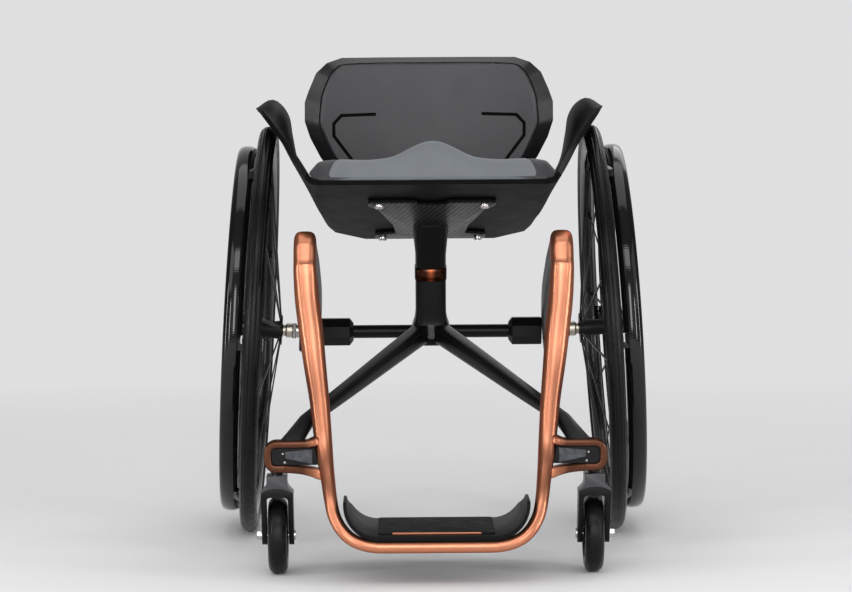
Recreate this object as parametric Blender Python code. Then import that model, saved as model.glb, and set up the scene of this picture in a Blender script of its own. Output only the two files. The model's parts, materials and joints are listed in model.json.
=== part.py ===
"""Rigid lightweight wheelchair: a carbon chassis with a copper painted front frame.

Metres, +Z up. The sitter faces -Y, and left is the sitter's left, at +X.
The floor is at Z = 0. Pieces are placed in a chair frame whose origin is on the
floor under the rear axle, and one parent empty carries that frame to its place.
"""

import math

import bmesh
import bpy
from mathutils import Matrix, Vector

SIDES = {"left": 1, "right": -1}
CLEARANCE = 0.0003          # gap between pieces that touch
RUNNING_GAP = 0.0003        # radial gap round a turning shaft
EDGE = 0.0010               # small bevel on turned and cast edges
CUT_PAST = 0.0100           # how far a cutter reaches past what it cuts

# Overall places
AXLE_Y = 0.1353             # rear axle from the middle of the whole length
CAMBER = math.radians(3.2)  # each rear wheel leans in at its top
WHEEL_HALF_TRACK = 0.2484   # middle of a rear tyre at axle height
CASTER_HALF_TRACK = 0.2095
CASTER_STEM_Y = -0.462
CASTER_TRAIL = 0.030        # caster axle behind its stem

# Rear wheel, measured along its axle and from it
WHEEL_RADIUS = 0.2955
TYRE_WIDTH = 0.025
WHEEL_SEGMENTS = 36
HUB_SEGMENTS = 12
CASTER_SEGMENTS = 24
TYRE_PROUD_SHARE = 0.84     # share of the tyre's round section that stands outside the rim
RIM_DEPTH = 0.0185
RIM_SIDE_SHARE = 0.49       # share of the rim's depth where its side is straight
RIM_WIDTH = 0.019
RIM_NECK_WIDTH = 0.011
HANDRIM_DROP = 0.0185       # middle of the handrim's section, inside the rim's outer edge
HANDRIM_OFFSET = 0.0284     # outboard of the tyre's middle
HANDRIM_WIDTH = 0.027
HANDRIM_DEPTH = 0.017
HANDRIM_SIDES = 8
HANDRIM_SQUARENESS = 2.3
HANDRIM_TABS = 6
HANDRIM_TAB_WIDTH = 0.0230
HANDRIM_TAB_SINK = 0.0080   # how far a tab reaches into the handrim
HANDRIM_TAB_ROOT = (0.0165, 0.0035)  # its lowest and highest place inside the rim's outer edge
HANDRIM_TAB_TIP = (-0.0030, 0.0065)  # and from the middle of the handrim's section
RIM_OUTER_RADIUS = WHEEL_RADIUS - TYRE_PROUD_SHARE * TYRE_WIDTH
RIM_INNER_RADIUS = RIM_OUTER_RADIUS - RIM_DEPTH
HANDRIM_RADIUS = RIM_OUTER_RADIUS - HANDRIM_DROP
HUB_FLANGE_RADIUS = 0.0215
HUB_FLANGE_OFFSET = 0.0305
HUB_FLANGE_THICKNESS = 0.004
HUB_BODY_RADIUS = 0.0130
HUB_WAIST_RADIUS = 0.0112
HUB_END_RADIUS = 0.0098
HUB_HALF_LENGTH = 0.0335
SPOKES_PER_FLANGE = 12
SPOKE_WIDTH = 0.0046
SPOKE_THICKNESS = 0.0018
SPOKE_LEAD = math.radians(7)
SPOKE_SINK = 0.0065         # how far a spoke starts inside its flange's edge
SPOKE_RIM_OFFSET = 0.0030   # spokes meet the rim on both sides of its middle
SPOKE_RIM_GAP = 0.0006

# Quick release axle and what holds it
AXLE_RADIUS = 0.0063
AXLE_END_SET = 0.0040       # inner end of the axle, inside the boss's inner face
AXLE_CAP_RADIUS = 0.0098
AXLE_CAP_LENGTH = 0.0070
BUTTON_RADIUS = 0.0042
BUTTON_PROUD = 0.0042
BUTTON_TRAVEL = 0.0030
BUTTON_DEPTH = 0.0110
CONE_LENGTH = 0.0140
CONE_RADIUS = 0.0105
CONE_NOSE_RADIUS = 0.0080
NUT_THICKNESS = 0.0050
NUT_RADIUS = 0.0125
RECEIVER_RADIUS = 0.0100
BOSS_RADIUS = 0.0300
BOSS_WIDTH = 0.0280
BOSS_BEVEL = 0.0030
RECEIVER_NECK = 0.0057      # sleeve that shows between the nut and the arm

# Axle tube and its clamps
AXLE_TUBE_RADIUS = 0.0095
AXLE_TUBE_WALL = 0.0020
CLAMP_FLATS = 0.0390        # across the octagon
CLAMP_LENGTH = 0.0425
CLAMP_CHAMFER = 0.0055
CLAMP_NOSE_RADIUS = 0.0135

# Casters, measured from the floor under their stem
CASTER_RADIUS = 0.0514
CASTER_TYRE_WIDTH = 0.0255
CASTER_TYRE_SIDE = 0.0035   # the side swells to full width over this depth
CASTER_CROWN_WIDTH = 0.0098  # the tread rounds in from each side by this much
CASTER_CROWN_DEPTH = 0.0110
CASTER_CROWN_STEPS = 4
CASTER_HUB_RADIUS = 0.0330
CASTER_HUB_WIDTH = 0.0215
CASTER_BAND = 0.0040        # thickness of the hub under the tyre
CASTER_DISH_FILLET = 0.0025
CASTER_DISC = 0.0090        # thickness of the hub at its thinnest
CASTER_BOSS_WALL = 0.0040
CASTER_BOSS_PROUD = 0.0005
CASTER_AXLE_RADIUS = 0.0040
CASTER_AXLE_HEAD_RADIUS = 0.0066
CASTER_BOLT_INNER = 0.0022  # head height, inboard
CASTER_NUT_OUTER = 0.0072   # nut height, outboard
CASTER_NUT_FLANGE = 0.0015
FORK_SIDE_GAP = 0.0018      # tyre to leg
FORK_LEG_THICKNESS = 0.0066
FORK_TOP = 0.1180
FORK_TYRE_GAP = 0.0040
FORK_END_RADIUS = 0.0125
FORK_FRONT_Y = -0.0158      # front and rear of the fork's bridge, from the stem
FORK_REAR_Y = 0.0230
FORK_NECK = 0.0060          # straight part of the legs under their shoulders
CROWN_TOP = 0.1350
CROWN_TOP_WIDTH = 0.0270
CROWN_FOOT_WIDTH = 0.0440
CROWN_FOOT = 0.1125
CROWN_DEPTH = 0.0340
CROWN_REAR_LONGER = 0.0030
CROWN_WAIST_DRAW = 0.0035   # how far its sides curve in
CROWN_WAIST_DROP = 0.0020   # and how far under its middle
STEM_RADIUS = 0.0040
STEM_TOP = 0.1640
BEARING_RADIUS = 0.0090
BEARING_TAPER = 0.0015

# Caster loops of the front frame, in front view
LOOP_ROOT_X = 0.1430        # where the loops start, inside the legs
LOOP_OUTER_X = CASTER_HALF_TRACK + 0.0167
LOOP_BOTTOM = 0.1392
LOOP_TOP = 0.1808
LOOP_TOP_BAR = 0.0090
LOOP_BOTTOM_BAR = 0.0100
LOOP_END_BAR = 0.0098
LOOP_DEPTH = 0.0340
LOOP_BEND = 0.0113          # radius of the bar's middle at its outer corners
LOOP_BEND_STEPS = 4
LOOP_EDGE = 0.0024          # cut corner along the bar's edges
# Where each bar runs into the leg: share of the way to the stem, spread, Y from the stem, thickness, depth
LOOP_TOP_ROOT = (
    (0.436, 0.0000, 0.0000, 0.0090, 0.0340),
    (0.316, 0.0012, 0.0010, 0.0098, 0.0330),
    (0.226, 0.0032, 0.0045, 0.0115, 0.0270),
    (0.105, 0.0062, 0.0060, 0.0130, 0.0220),
    (0.015, 0.0077, 0.0065, 0.0100, 0.0160),
)
LOOP_BOTTOM_ROOT = (
    (0.827, 0.0000, 0.0000, 0.0100, 0.0340),
    (0.632, 0.0006, -0.0030, 0.0100, 0.0340),
    (0.406, 0.0020, -0.0090, 0.0102, 0.0320),
    (0.226, 0.0042, -0.0170, 0.0115, 0.0280),
    (0.105, 0.0066, -0.0230, 0.0130, 0.0220),
    (0.000, 0.0085, -0.0270, 0.0100, 0.0160),
)
HOUSING_SET = 0.0030        # the housing's front behind the loop's
LENS_DEPTH = 0.0040
LENS_PROUD = 0.0004
LENS_MARGIN = 0.0015        # above and below at its tall end
LENS_LOW_RISE = 0.0092      # its low end tapers up and down to these
LENS_HIGH_FALL = 0.0048
LENS_START = 0.0079         # out from the leg's side
LENS_END = 0.0115           # short of the stem's middle

# Front frame tube: half spacing, Y, Z, width in front view, depth from front to back
LEG_STATIONS = (
    (0.0000, -0.5520, 0.0505, 0.0156, 0.0260),
    (0.0700, -0.5520, 0.0506, 0.0156, 0.0260),
    (0.0815, -0.5517, 0.0513, 0.0157, 0.0259),
    (0.0920, -0.5510, 0.0530, 0.0158, 0.0258),
    (0.1030, -0.5492, 0.0566, 0.0160, 0.0257),
    (0.1130, -0.5463, 0.0620, 0.0162, 0.0255),
    (0.1213, -0.5425, 0.0695, 0.0164, 0.0254),
    (0.1280, -0.5372, 0.0785, 0.0166, 0.0252),
    (0.1332, -0.5318, 0.0890, 0.0168, 0.0251),
    (0.1362, -0.5265, 0.1000, 0.0170, 0.0250),
    (0.1388, -0.5160, 0.1140, 0.0175, 0.0256),
    (0.1408, -0.5030, 0.1270, 0.0182, 0.0262),
    (0.1445, -0.4775, 0.1500, 0.0205, 0.0285),
    (0.1483, -0.4560, 0.1800, 0.0238, 0.0310),
    (0.1532, -0.4350, 0.2300, 0.0262, 0.0340),
    (0.1592, -0.4180, 0.2760, 0.0298, 0.0365),
    (0.1645, -0.4040, 0.3220, 0.0325, 0.0390),
    (0.1695, -0.3920, 0.3610, 0.0326, 0.0402),
    (0.1720, -0.3830, 0.3950, 0.0315, 0.0408),
)
TUBE_SIDES = 12
TUBE_SQUARENESS = 2.8       # 2 is an ellipse, more is squarer
KNEE_X = 0.1726
KNEE_Y = -0.3530
KNEE_TOP = 0.4515
KNEE_BEND = 0.0280          # radius of the tube's middle at the knee
KNEE_WIDTH = 0.0302
KNEE_DEPTH = 0.0410
KNEE_SPLIT_LENGTH = 0.0200  # copper behind the bend
KNEE_PANEL_SET = 0.0032     # the knee's flat front panel, inside the round of the bend
KNEE_PANEL_ANGLE = math.radians(156.4)  # way that the panel faces, from the rear over the top
KNEE_PANEL_STEPS = 3
KNEE_BEND_STEPS = 4
KNEE_SQUARENESS = 3.6       # the leg turns this square between the two heights
KNEE_SQUARE_FROM = 0.3600
KNEE_SQUARE_FULL = 0.4200
LEG_LEAN = math.radians(14.5)
ARM_FALL = math.radians(20)

# Side arm from the knee to the axle: bow out of the straight line, Y, rise over it, width, height
ARM_STATIONS = (
    (-0.0019, -0.2600, 0.0041, 0.0320, 0.0430),
    (-0.0037, -0.1600, 0.0018, 0.0325, 0.0455),
    (-0.0030, -0.0750, -0.0037, 0.0305, 0.0470),
    (-0.0006, -0.0200, -0.0021, 0.0280, 0.0440),
)

# Seat post, in an axis that leans forward from the axle tube
POST_LEAN = math.radians(8)
POST_WIDTH = 0.0441
POST_DEPTH = 0.0530
POST_JOINT = 0.0790         # top of the post foot
SPIGOT_WIDTH = 0.0330
SPIGOT_DEPTH = 0.0410
SEAT_TRAVEL = 0.0400        # how far the seat can rise
SPIGOT_KEPT = 0.0160        # spigot left in the foot at the top of that travel
SPIGOT_FOOT = POST_JOINT - SEAT_TRAVEL - SPIGOT_KEPT
COLLAR_HEIGHT = 0.0175
COLLAR_PROUD = 0.0020
POST_HEAD_WIDTH = 0.0500
POST_HEAD_DEPTH = 0.0780
POST_SIDES = 16
POST_SQUARENESS = 5.0
# Post foot below its straight part: height, width, depth
POST_FOOT_LEVELS = (
    (-0.0170, 0.0400, 0.0440), (-0.0120, 0.0520, 0.0560), (0.0080, 0.0540, 0.0580), (0.0200, 0.0470, 0.0540),
)
POST_STRAIGHT = 0.0320
POST_SHOULDER = 0.0180      # straight part of the upper post above the collar
POST_HEAD_EDGE = 0.0050
POST_HEAD_SHIFT = -0.0120
SPIGOT_ROOM = 0.0030        # free space under the spigot
INSERT_WIDTH = 0.0095
INSERT_HEIGHT = 0.0200
INSERT_DEPTH = 0.0055
INSERT_FRONT_Y = -0.0312
INSERT_DROP = -0.0006        # its middle, under the axle tube's

# Struts from the hub to the caster loops: X, Y, rise over the straight line, height, depth
STRUT_STATIONS = (
    (0.0120, -0.0140, 0.0029, 0.0275, 0.0300),
    (0.0550, -0.1180, 0.0040, 0.0250, 0.0270),
    (0.1200, -0.2800, 0.0062, 0.0185, 0.0240),
    (0.1700, -0.4040, 0.0085, 0.0130, 0.0230),
)
STRUT_FOOT_INSET = 0.0210   # inboard of the stem
STRUT_FOOT_BACK = 0.0040    # and behind it
STRUT_FOOT = (CASTER_HALF_TRACK - STRUT_FOOT_INSET, CASTER_STEM_Y + STRUT_FOOT_BACK)
STRUT_FOOT_SIZE = (0.0320, 0.0220)
STRUT_SIDES = 8
STRUT_SQUARENESS = 3.5

# Footplate tray, in front view inside the U of the front frame
TRAY_SIDE_GAP = 0.0065      # from the tray to the legs at its top
TRAY_HALF_WIDTH = LEG_STATIONS[9][0] - LEG_STATIONS[9][3] / 2 - TRAY_SIDE_GAP
TRAY_WALL = 0.0042
TRAY_FLOOR = 0.0070
TRAY_TOP = 0.1100
TRAY_REAR_TOP = 0.0860
TRAY_LEVEL_LENGTH = 0.0750  # the sides keep their height this far back
TRAY_REAR_CORNER = 0.0060
TRAY_FRONT_CORNER = 0.0080
TRAY_CORNER = 0.0470
TRAY_FRONT_Y = -0.5610
TRAY_REAR_Y = -0.3760
GRIP_THICKNESS = 0.0018
GRIP_SPREAD = 0.0018        # the mat runs this far over the start of the tray's bends
GRIP_CORNER = 0.0060
GRIP_HALF_WIDTH = TRAY_HALF_WIDTH - TRAY_CORNER + GRIP_SPREAD
GRIP_FRONT_Y = -0.5440
GRIP_REAR_Y = -0.3860
TRIM_HALF_WIDTH = 0.0577
TRIM_DEPTH = 0.0022
TRIM_HEIGHT = 0.0026

# Seat shell
SEAT_SLOPE = math.radians(12.5)
SEAT_FRONT_Y = -0.3450
SEAT_FRONT_Z = 0.5130       # underside of the pan at its front edge
PAN_THICKNESS = 0.0042
WALL_THICKNESS = 0.0065
PAN_FLAT_SHARE = 0.68       # share of the pan's width that stays flat
PAN_REAR_RISE = 0.0100      # how far its corners rise at the rear
GUARD_REAR_SWEEP = 0.0400   # how far the guard's top runs back past its foot
GUARD_SWEEP_FROM = 0.7      # share of the seat's length where that starts
GUARD_CORNER = 0.0090       # cut off the guard's last corner
SEAT_TO_WHEEL = 0.0944      # from the pan's front corner out to the tyre's middle
SEAT_HALF_WIDTH = WHEEL_HALF_TRACK - SEAT_TO_WHEEL
# Y, then distance out from the pan's front corner and Z, from the pan's edge up the side wall to the rim
SHELL_STATIONS = (
    (-0.3450, (0.0000, 0.5130), (0.0055, 0.5135), (0.0102, 0.5147), (0.0136, 0.5163),
     (0.0158, 0.5184), (0.0175, 0.5205), (0.0187, 0.5227), (0.0195, 0.5247)),
    (-0.2800, (-0.0020, 0.4986), (0.0060, 0.5040), (0.0112, 0.5099), (0.0158, 0.5163),
     (0.0197, 0.5222), (0.0235, 0.5282), (0.0268, 0.5338), (0.0300, 0.5390)),
    (-0.2000, (-0.0035, 0.4809), (0.0055, 0.4893), (0.0150, 0.5017), (0.0230, 0.5140),
     (0.0300, 0.5254), (0.0362, 0.5370), (0.0418, 0.5482), (0.0470, 0.5590)),
    (-0.1050, (-0.0065, 0.4598), (0.0050, 0.4732), (0.0200, 0.4983), (0.0345, 0.5240),
     (0.0480, 0.5490), (0.0580, 0.5700), (0.0680, 0.5870), (0.0805, 0.5985)),
    (-0.0450, (-0.0095, 0.4465), (0.0035, 0.4620), (0.0215, 0.4960), (0.0400, 0.5335),
     (0.0520, 0.5665), (0.0600, 0.5945), (0.0730, 0.6110), (0.0905, 0.6080)),
    (0.0150, (-0.0120, 0.4332), (0.0020, 0.4545), (0.0225, 0.4950), (0.0440, 0.5365),
     (0.0530, 0.5740), (0.0600, 0.6020), (0.0745, 0.6195), (0.0945, 0.6075)),
    (0.0750, (-0.0150, 0.4199), (-0.0005, 0.4445), (0.0215, 0.4885), (0.0440, 0.5300),
     (0.0530, 0.5700), (0.0580, 0.5980), (0.0715, 0.6150), (0.0900, 0.6060)),
)
SHELL_ROW_STEPS = 2
SHELL_WALL_STEPS = 2

# Mount plate under the pan, in the seat's own sloping plane: X and distance from the pan's front edge
PLATE_THICKNESS = 0.0060
PLATE_OUTLINE = (
    (0.0880, 0.1040), (0.0880, 0.1230), (0.0720, 0.1400), (0.0500, 0.2800),
    (0.0500, 0.3480), (0.0800, 0.3620), (0.0800, 0.3900), (0.0200, 0.3900),
)
PLATE_NOTCH_RADIUS = 0.0210
SEAT_BOLT_X = {"front": 0.0730, "rear": 0.0690}
SEAT_BOLT_DISTANCE = {"front": 0.1150, "rear": 0.3770}
SEAT_BOLT_RADIUS = 0.0035
SEAT_BOLT_HEAD_RADIUS = 0.0062
SEAT_BOLT_HEAD_HEIGHT = 0.0048
SEAT_BOLT_GRIP = 0.0045     # length inside the plate

# Cushion
CUSHION_FRONT_Y = -0.3400
CUSHION_REAR_Y = 0.0500
CUSHION_HEIGHT = 0.0360
CUSHION_CROWN = 0.0060
CUSHION_FRONT_EDGE = 0.0070  # height of the cushion at its front end, before it swells
CUSHION_REAR_EDGE = 0.0220
CUSHION_SIDE_PULL = 0.0030  # how far the sides draw in at mid length
CUSHION_WALL_GAP = 0.0040
CUSHION_FOOT_GAP = 0.0080
CUSHION_ROWS = 14
CUSHION_FRONT_ROUND = 0.0300  # length over which the front swells to full height
CUSHION_REAR_ROUND = 0.0220
CUSHION_SIDE_LEAN = 0.0220  # how far the sides may lean out past the foot
CUSHION_SHOULDER = 0.0100
CUSHION_END_SHOULDER = 0.0120
CUSHION_EDGE_DROP = 0.06    # share of its height by which the top's edge lies lower
CUSHION_TOP_STEPS = 8
THIGH_MIDDLE = 0.0850
THIGH_HALF_WIDTH = 0.0550
POMMEL_HEIGHT = 0.0215
POMMEL_HALF_WIDTH = 0.0620
POMMEL_LENGTH = 0.2000
THIGH_TROUGH = 0.0040

# Back, in front view: half width and Z
BACK_OUTER = (
    (0.0000, 0.6870), (0.0640, 0.6870), (0.1280, 0.6865), (0.1500, 0.6790), (0.1660, 0.6640),
    (0.1770, 0.6380), (0.1828, 0.6210), (0.1828, 0.5930), (0.1750, 0.5690), (0.1600, 0.5400),
    (0.1420, 0.5160), (0.1200, 0.4960), (0.0600, 0.4840), (0.0000, 0.4840),
)
BACK_INNER = (
    (0.0000, 0.6790), (0.0620, 0.6790), (0.1230, 0.6770), (0.1390, 0.6690), (0.1480, 0.6560),
    (0.1570, 0.6330), (0.1600, 0.6130), (0.1610, 0.5890), (0.1530, 0.5660), (0.1400, 0.5400),
    (0.1240, 0.5190), (0.1060, 0.5030), (0.0540, 0.4930), (0.0000, 0.4930),
)
BACK_OVERHANG = 0.0288      # the back is wider than the pan's front by this on each side
BACK_HALF_WIDTH = SEAT_HALF_WIDTH + BACK_OVERHANG
BACK_CENTRE_Z = 0.5900
BACK_Y = 0.1000             # front of the pad at its middle, at the hinge's height
BACK_WRAP = 0.0420          # how far the sides come forward
BACK_LEAN = math.radians(6)
BACK_SHELL_THICKNESS = 0.0060
BACK_LIP_SET = 0.0110       # outer edge set behind the inner edge
BACK_RECESS = 0.0085        # depth of the seat for the pad
BACK_EDGE_ROLL = 0.0040     # the outer edge rolls back by this before it turns in
PAD_PROUD = 0.0010
PAD_EDGE_SET = 0.0015
PAD_FIT = 0.992             # the pad's outline as a share of its seat's
PAD_FACE_SHARE = 0.980      # and its flat face's
BACK_ROLL_SHARE = 0.985     # the back's rolled edge, as a share of its outline
BACK_REAR_SHARE = 0.970     # its rear edge, as a share of the pad's seat
BACK_RINGS = (0.72, 0.38)   # inner rings of the pad and the shell, as shares of the outline

# Back hinge
HINGE_Y = 0.1230
HINGE_Z = 0.4700
HINGE_PIN_RADIUS = 0.0040
HINGE_HEAD_RADIUS = 0.0070
HINGE_HEAD_THICKNESS = 0.0030
HINGE_EAR_RADIUS = 0.0105
BRACKET_WIDTH = 0.0100
BRACKET_EDGE_GAP = 0.0005   # each bracket stands this far inside the flat of the pan
BRACKET_X = PAN_FLAT_SHARE * (SEAT_HALF_WIDTH + SHELL_STATIONS[-1][1][0]) - BRACKET_WIDTH - BRACKET_EDGE_GAP
LUG_TOP_Z = 0.5450
LUG_NECK_Z = 0.5000
LUG_REAR_Z = 0.5200
LUG_BITE_SHARE = 0.6        # the lugs start this share of the shell's thickness behind its floor
LUG_WIDTH = 0.0120
BRACKET_FOOT_Y = 0.0530     # front end of each bracket's foot on the pan
BRACKET_THICKNESS = 0.0065


def clear_scene():
    """Removes every object that the file holds."""
    for item in list(bpy.data.objects):
        bpy.data.objects.remove(item, do_unlink=True)


# Small helpers for shapes

def bore_radius(radius, segments, gap=RUNNING_GAP):
    """Corner radius of a polygonal bore whose flats clear a shaft."""
    return (radius + gap) / math.cos(math.pi / segments)


def circle(radius, segments, turn=0.0):
    """Points of a circle in a plane, as pairs."""
    step = 2 * math.pi / segments
    angles = [turn + step * i for i in range(segments)]
    return [(radius * math.cos(a), radius * math.sin(a)) for a in angles]


def arc(centre, radius, start, end, steps):
    """Points of an arc in a plane, from one angle to another in degrees."""
    angles = [math.radians(start + (end - start) * i / steps) for i in range(steps + 1)]
    return [(centre[0] + radius * math.cos(a), centre[1] + radius * math.sin(a)) for a in angles]


def rounded_section(width, depth, squareness=TUBE_SQUARENESS, sides=TUBE_SIDES):
    """Points of a superellipse, as pairs."""
    points = []
    for i in range(sides):
        angle = 2 * math.pi * (i + 0.5) / sides
        c, s = math.cos(angle), math.sin(angle)
        x = math.copysign(abs(c) ** (2 / squareness), c) * width / 2
        y = math.copysign(abs(s) ** (2 / squareness), s) * depth / 2
        points.append((x, y))
    return points


def chamfered_section(width, depth, corner=LOOP_EDGE):
    """Points of a rectangle with cut corners, as pairs."""
    x, y = width / 2, depth / 2
    quarter = [(x, y - corner), (x - corner, y)]
    half = quarter + [(-u, v) for u, v in reversed(quarter)]
    return half + [(u, -v) for u, v in reversed(half)]


def catmull_rom(a, b, c, d, t):
    """Value at a share of the way from b to c, on the curve through four values."""
    square = (2 * a - 5 * b + 4 * c - d) * t ** 2
    cube = (3 * b - a - 3 * c + d) * t ** 3
    return 0.5 * (2 * b + (c - a) * t + square + cube)


def smooth(stations, steps):
    """Catmull-Rom values through rows of numbers, with steps between two rows."""
    rows = [list(row) for row in stations]
    first = [2 * a - b for a, b in zip(rows[0], rows[1])]
    last = [2 * a - b for a, b in zip(rows[-1], rows[-2])]
    padded = [first] + rows + [last]
    result = []
    for p0, p1, p2, p3 in zip(padded, padded[1:], padded[2:], padded[3:]):
        for i in range(steps):
            t = i / steps
            result.append([catmull_rom(*values, t) for values in zip(p0, p1, p2, p3)])
    result.append(rows[-1])
    return result


def mesh_of(points, faces):
    """A closed mesh whose faces point out."""
    shape = bmesh.new()
    corners = [shape.verts.new(point) for point in points]
    for face in faces:
        shape.faces.new([corners[i] for i in face])
    bmesh.ops.recalc_face_normals(shape, faces=shape.faces)
    mesh = bpy.data.meshes.new("shape")
    shape.to_mesh(mesh)
    shape.free()
    return mesh


def loft(rings, closed=False):
    """Skin through rings of points; a closed loft joins the last ring to the first."""
    count = len(rings[0])
    points = [point for ring in rings for point in ring]
    faces = []
    spans = len(rings) if closed else len(rings) - 1
    for row in range(spans):
        low, high = row * count, ((row + 1) % len(rings)) * count
        for i in range(count):
            j = (i + 1) % count
            faces.append((low + i, low + j, high + j, high + i))
    if not closed:
        faces.append(tuple(range(count)))
        faces.append(tuple(range(len(points) - count, len(points))))
    return mesh_of(points, faces)


def turned(profile, segments, turn=0.0):
    """Ring round X from a closed profile of X and radius."""
    rings = [[(x, y, z) for y, z in circle(radius, segments, turn)] for x, radius in profile]
    return loft(rings, closed=True)


def spindle(profile, segments, turn=0.0):
    """Solid of revolution round X from X and radius pairs, capped at both ends."""
    return loft([[(x, y, z) for y, z in circle(radius, segments, turn)] for x, radius in profile])


def upright(profile, segments, turn=0.0):
    """Solid of revolution round Z from Z and radius pairs."""
    return loft([[(x, y, z) for x, y in circle(radius, segments, turn)] for z, radius in profile])


def upright_ring(profile, segments, turn=0.0):
    """Ring round Z from a closed profile of Z and radius."""
    rings = [[(x, y, z) for x, y in circle(radius, segments, turn)] for z, radius in profile]
    return loft(rings, closed=True)


def prism(outline, low, high, axis):
    """Outline pulled along an axis: its pairs are the two other axes in X, Y, Z order."""
    def place(pair, along):
        """Point of the outline at a distance along the axis."""
        values = list(pair)
        values.insert("XYZ".index(axis), along)
        return tuple(values)
    return loft([[place(pair, low) for pair in outline], [place(pair, high) for pair in outline]])


def block(low, high):
    """Box between two corners."""
    outline = [(low[0], low[1]), (high[0], low[1]), (high[0], high[1]), (low[0], high[1])]
    return prism(outline, low[2], high[2], "Z")


def hexagon_ring(x, radius, steps=12):
    """Points on a hexagon round X, two to a side, so that it joins a ring of twelve."""
    corners = circle(radius, 6)
    ring = []
    for a, b in zip(corners, corners[1:] + corners[:1]):
        ring += [a, ((a[0] + b[0]) / 2, (a[1] + b[1]) / 2)]
    return [(x, y, z) for y, z in ring[:steps]]


def mirrored(half):
    """Outline from half of one: pairs from the centre line round to the centre line again."""
    return list(half) + [(-x, z) for x, z in reversed(half) if abs(x) > 1e-9]


def moved(mesh, matrix):
    """The mesh after a transform."""
    mesh.transform(matrix)
    if matrix.determinant() < 0:
        mesh.flip_normals()
    return mesh


def boolean(operation, first, second):
    """Mesh of a Boolean between two meshes."""
    items = [bpy.data.objects.new("operand", mesh) for mesh in (first, second)]
    for item in items:
        bpy.context.collection.objects.link(item)
    modifier = items[0].modifiers.new("cut", "BOOLEAN")
    modifier.operation = operation
    modifier.solver = "EXACT"
    modifier.object = items[1]
    bpy.context.view_layer.update()
    graph = bpy.context.evaluated_depsgraph_get()
    result = bpy.data.meshes.new_from_object(items[0].evaluated_get(graph))
    for item in items:
        bpy.data.objects.remove(item, do_unlink=True)
    return result


def union(first, *others):
    """Shape with the others added to it."""
    for other in others:
        first = boolean("UNION", first, other)
    return first


def subtract(first, *others):
    """Shape with the others cut out of it."""
    for other in others:
        first = boolean("DIFFERENCE", first, other)
    return first


def joined(meshes):
    """Several separate shapes in one mesh."""
    shape = bmesh.new()
    for mesh in meshes:
        shape.from_mesh(mesh)
    result = bpy.data.meshes.new("shapes")
    shape.to_mesh(result)
    shape.free()
    return result


# Materials and placing

def make_materials():
    """Name to material: base colour, roughness and metallic value."""
    looks = {
        "copper_paint": ((0.50, 0.21, 0.12), 0.30, 0.80),
        "satin_black": ((0.012, 0.012, 0.013), 0.40, 0.0),
        "carbon_twill": ((0.020, 0.020, 0.022), 0.30, 0.0),
        "gloss_carbon": ((0.010, 0.010, 0.011), 0.10, 0.0),
        "tyre_rubber": ((0.018, 0.018, 0.019), 0.60, 0.0),
        "polished_steel": ((0.60, 0.60, 0.60), 0.22, 1.0),
        "light_alloy": ((0.62, 0.58, 0.52), 0.32, 1.0),
        "grey_crown": ((0.13, 0.13, 0.14), 0.42, 0.3),
        "seat_plastic": ((0.013, 0.013, 0.014), 0.45, 0.0),
        "cushion_cover": ((0.16, 0.16, 0.17), 0.70, 0.0),
        "back_cover": ((0.055, 0.053, 0.056), 0.45, 0.0),
        "grip_rubber": ((0.020, 0.020, 0.020), 0.80, 0.0),
        "grey_lens": ((0.30, 0.31, 0.32), 0.20, 0.0),
    }
    made = {}
    for name, (colour, roughness, metallic) in looks.items():
        material = bpy.data.materials.new(name)
        material.use_nodes = True
        shader = material.node_tree.nodes["Principled BSDF"]
        shader.inputs["Base Color"].default_value = (*colour, 1.0)
        shader.inputs["Roughness"].default_value = roughness
        shader.inputs["Metallic"].default_value = metallic
        material.diffuse_color = (*colour, 1.0)
        made[name] = material
    return made


def place(name, mesh, material, parent, location=(0, 0, 0), smooth_angle=35):
    """Names a mesh, splits its faces into triangles, gives it its material and hangs it on its parent."""
    shape = bmesh.new()
    shape.from_mesh(mesh)
    bmesh.ops.dissolve_degenerate(shape, dist=1e-6, edges=shape.edges)
    bmesh.ops.triangulate(shape, faces=shape.faces)
    shape.to_mesh(mesh)
    shape.free()
    mesh.name = name
    mesh.materials.clear()
    mesh.materials.append(material)
    mesh.shade_smooth()
    mesh.set_sharp_from_angle(angle=math.radians(smooth_angle))
    item = bpy.data.objects.new(name, mesh)
    bpy.context.collection.objects.link(item)
    item.parent = parent
    item.location = location
    return item


def empty(name, parent, location, rotation=(0, 0, 0)):
    """A parent for pieces that share a place or a joint."""
    item = bpy.data.objects.new(name, None)
    bpy.context.collection.objects.link(item)
    item.parent = parent
    item.location = location
    item.rotation_euler = rotation
    return item


# Rear wheels, round their own axle, outboard at +X

def tyre_profile():
    """Closed profile of the tyre: a round tread on a flat seat."""
    radius = TYRE_WIDTH / 2
    middle = WHEEL_RADIUS - radius
    seat = RIM_OUTER_RADIUS + CLEARANCE
    low = -math.degrees(math.asin((middle - seat) / radius))
    return [(x, middle + y) for x, y in arc((0, 0), radius, low, 180 - low, 9)]


def wheel_centre_height():
    """Height of the axle at which the leaning tyre just meets the floor."""
    half_step = math.pi / WHEEL_SEGMENTS
    depths = [r * math.cos(half_step) * math.cos(CAMBER) - x * math.sin(CAMBER) for x, r in tyre_profile()]
    return max(depths)


def make_tyre():
    """Rear tyre with flats that match the rim's."""
    return turned(tyre_profile(), WHEEL_SEGMENTS, math.pi / WHEEL_SEGMENTS)


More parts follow.
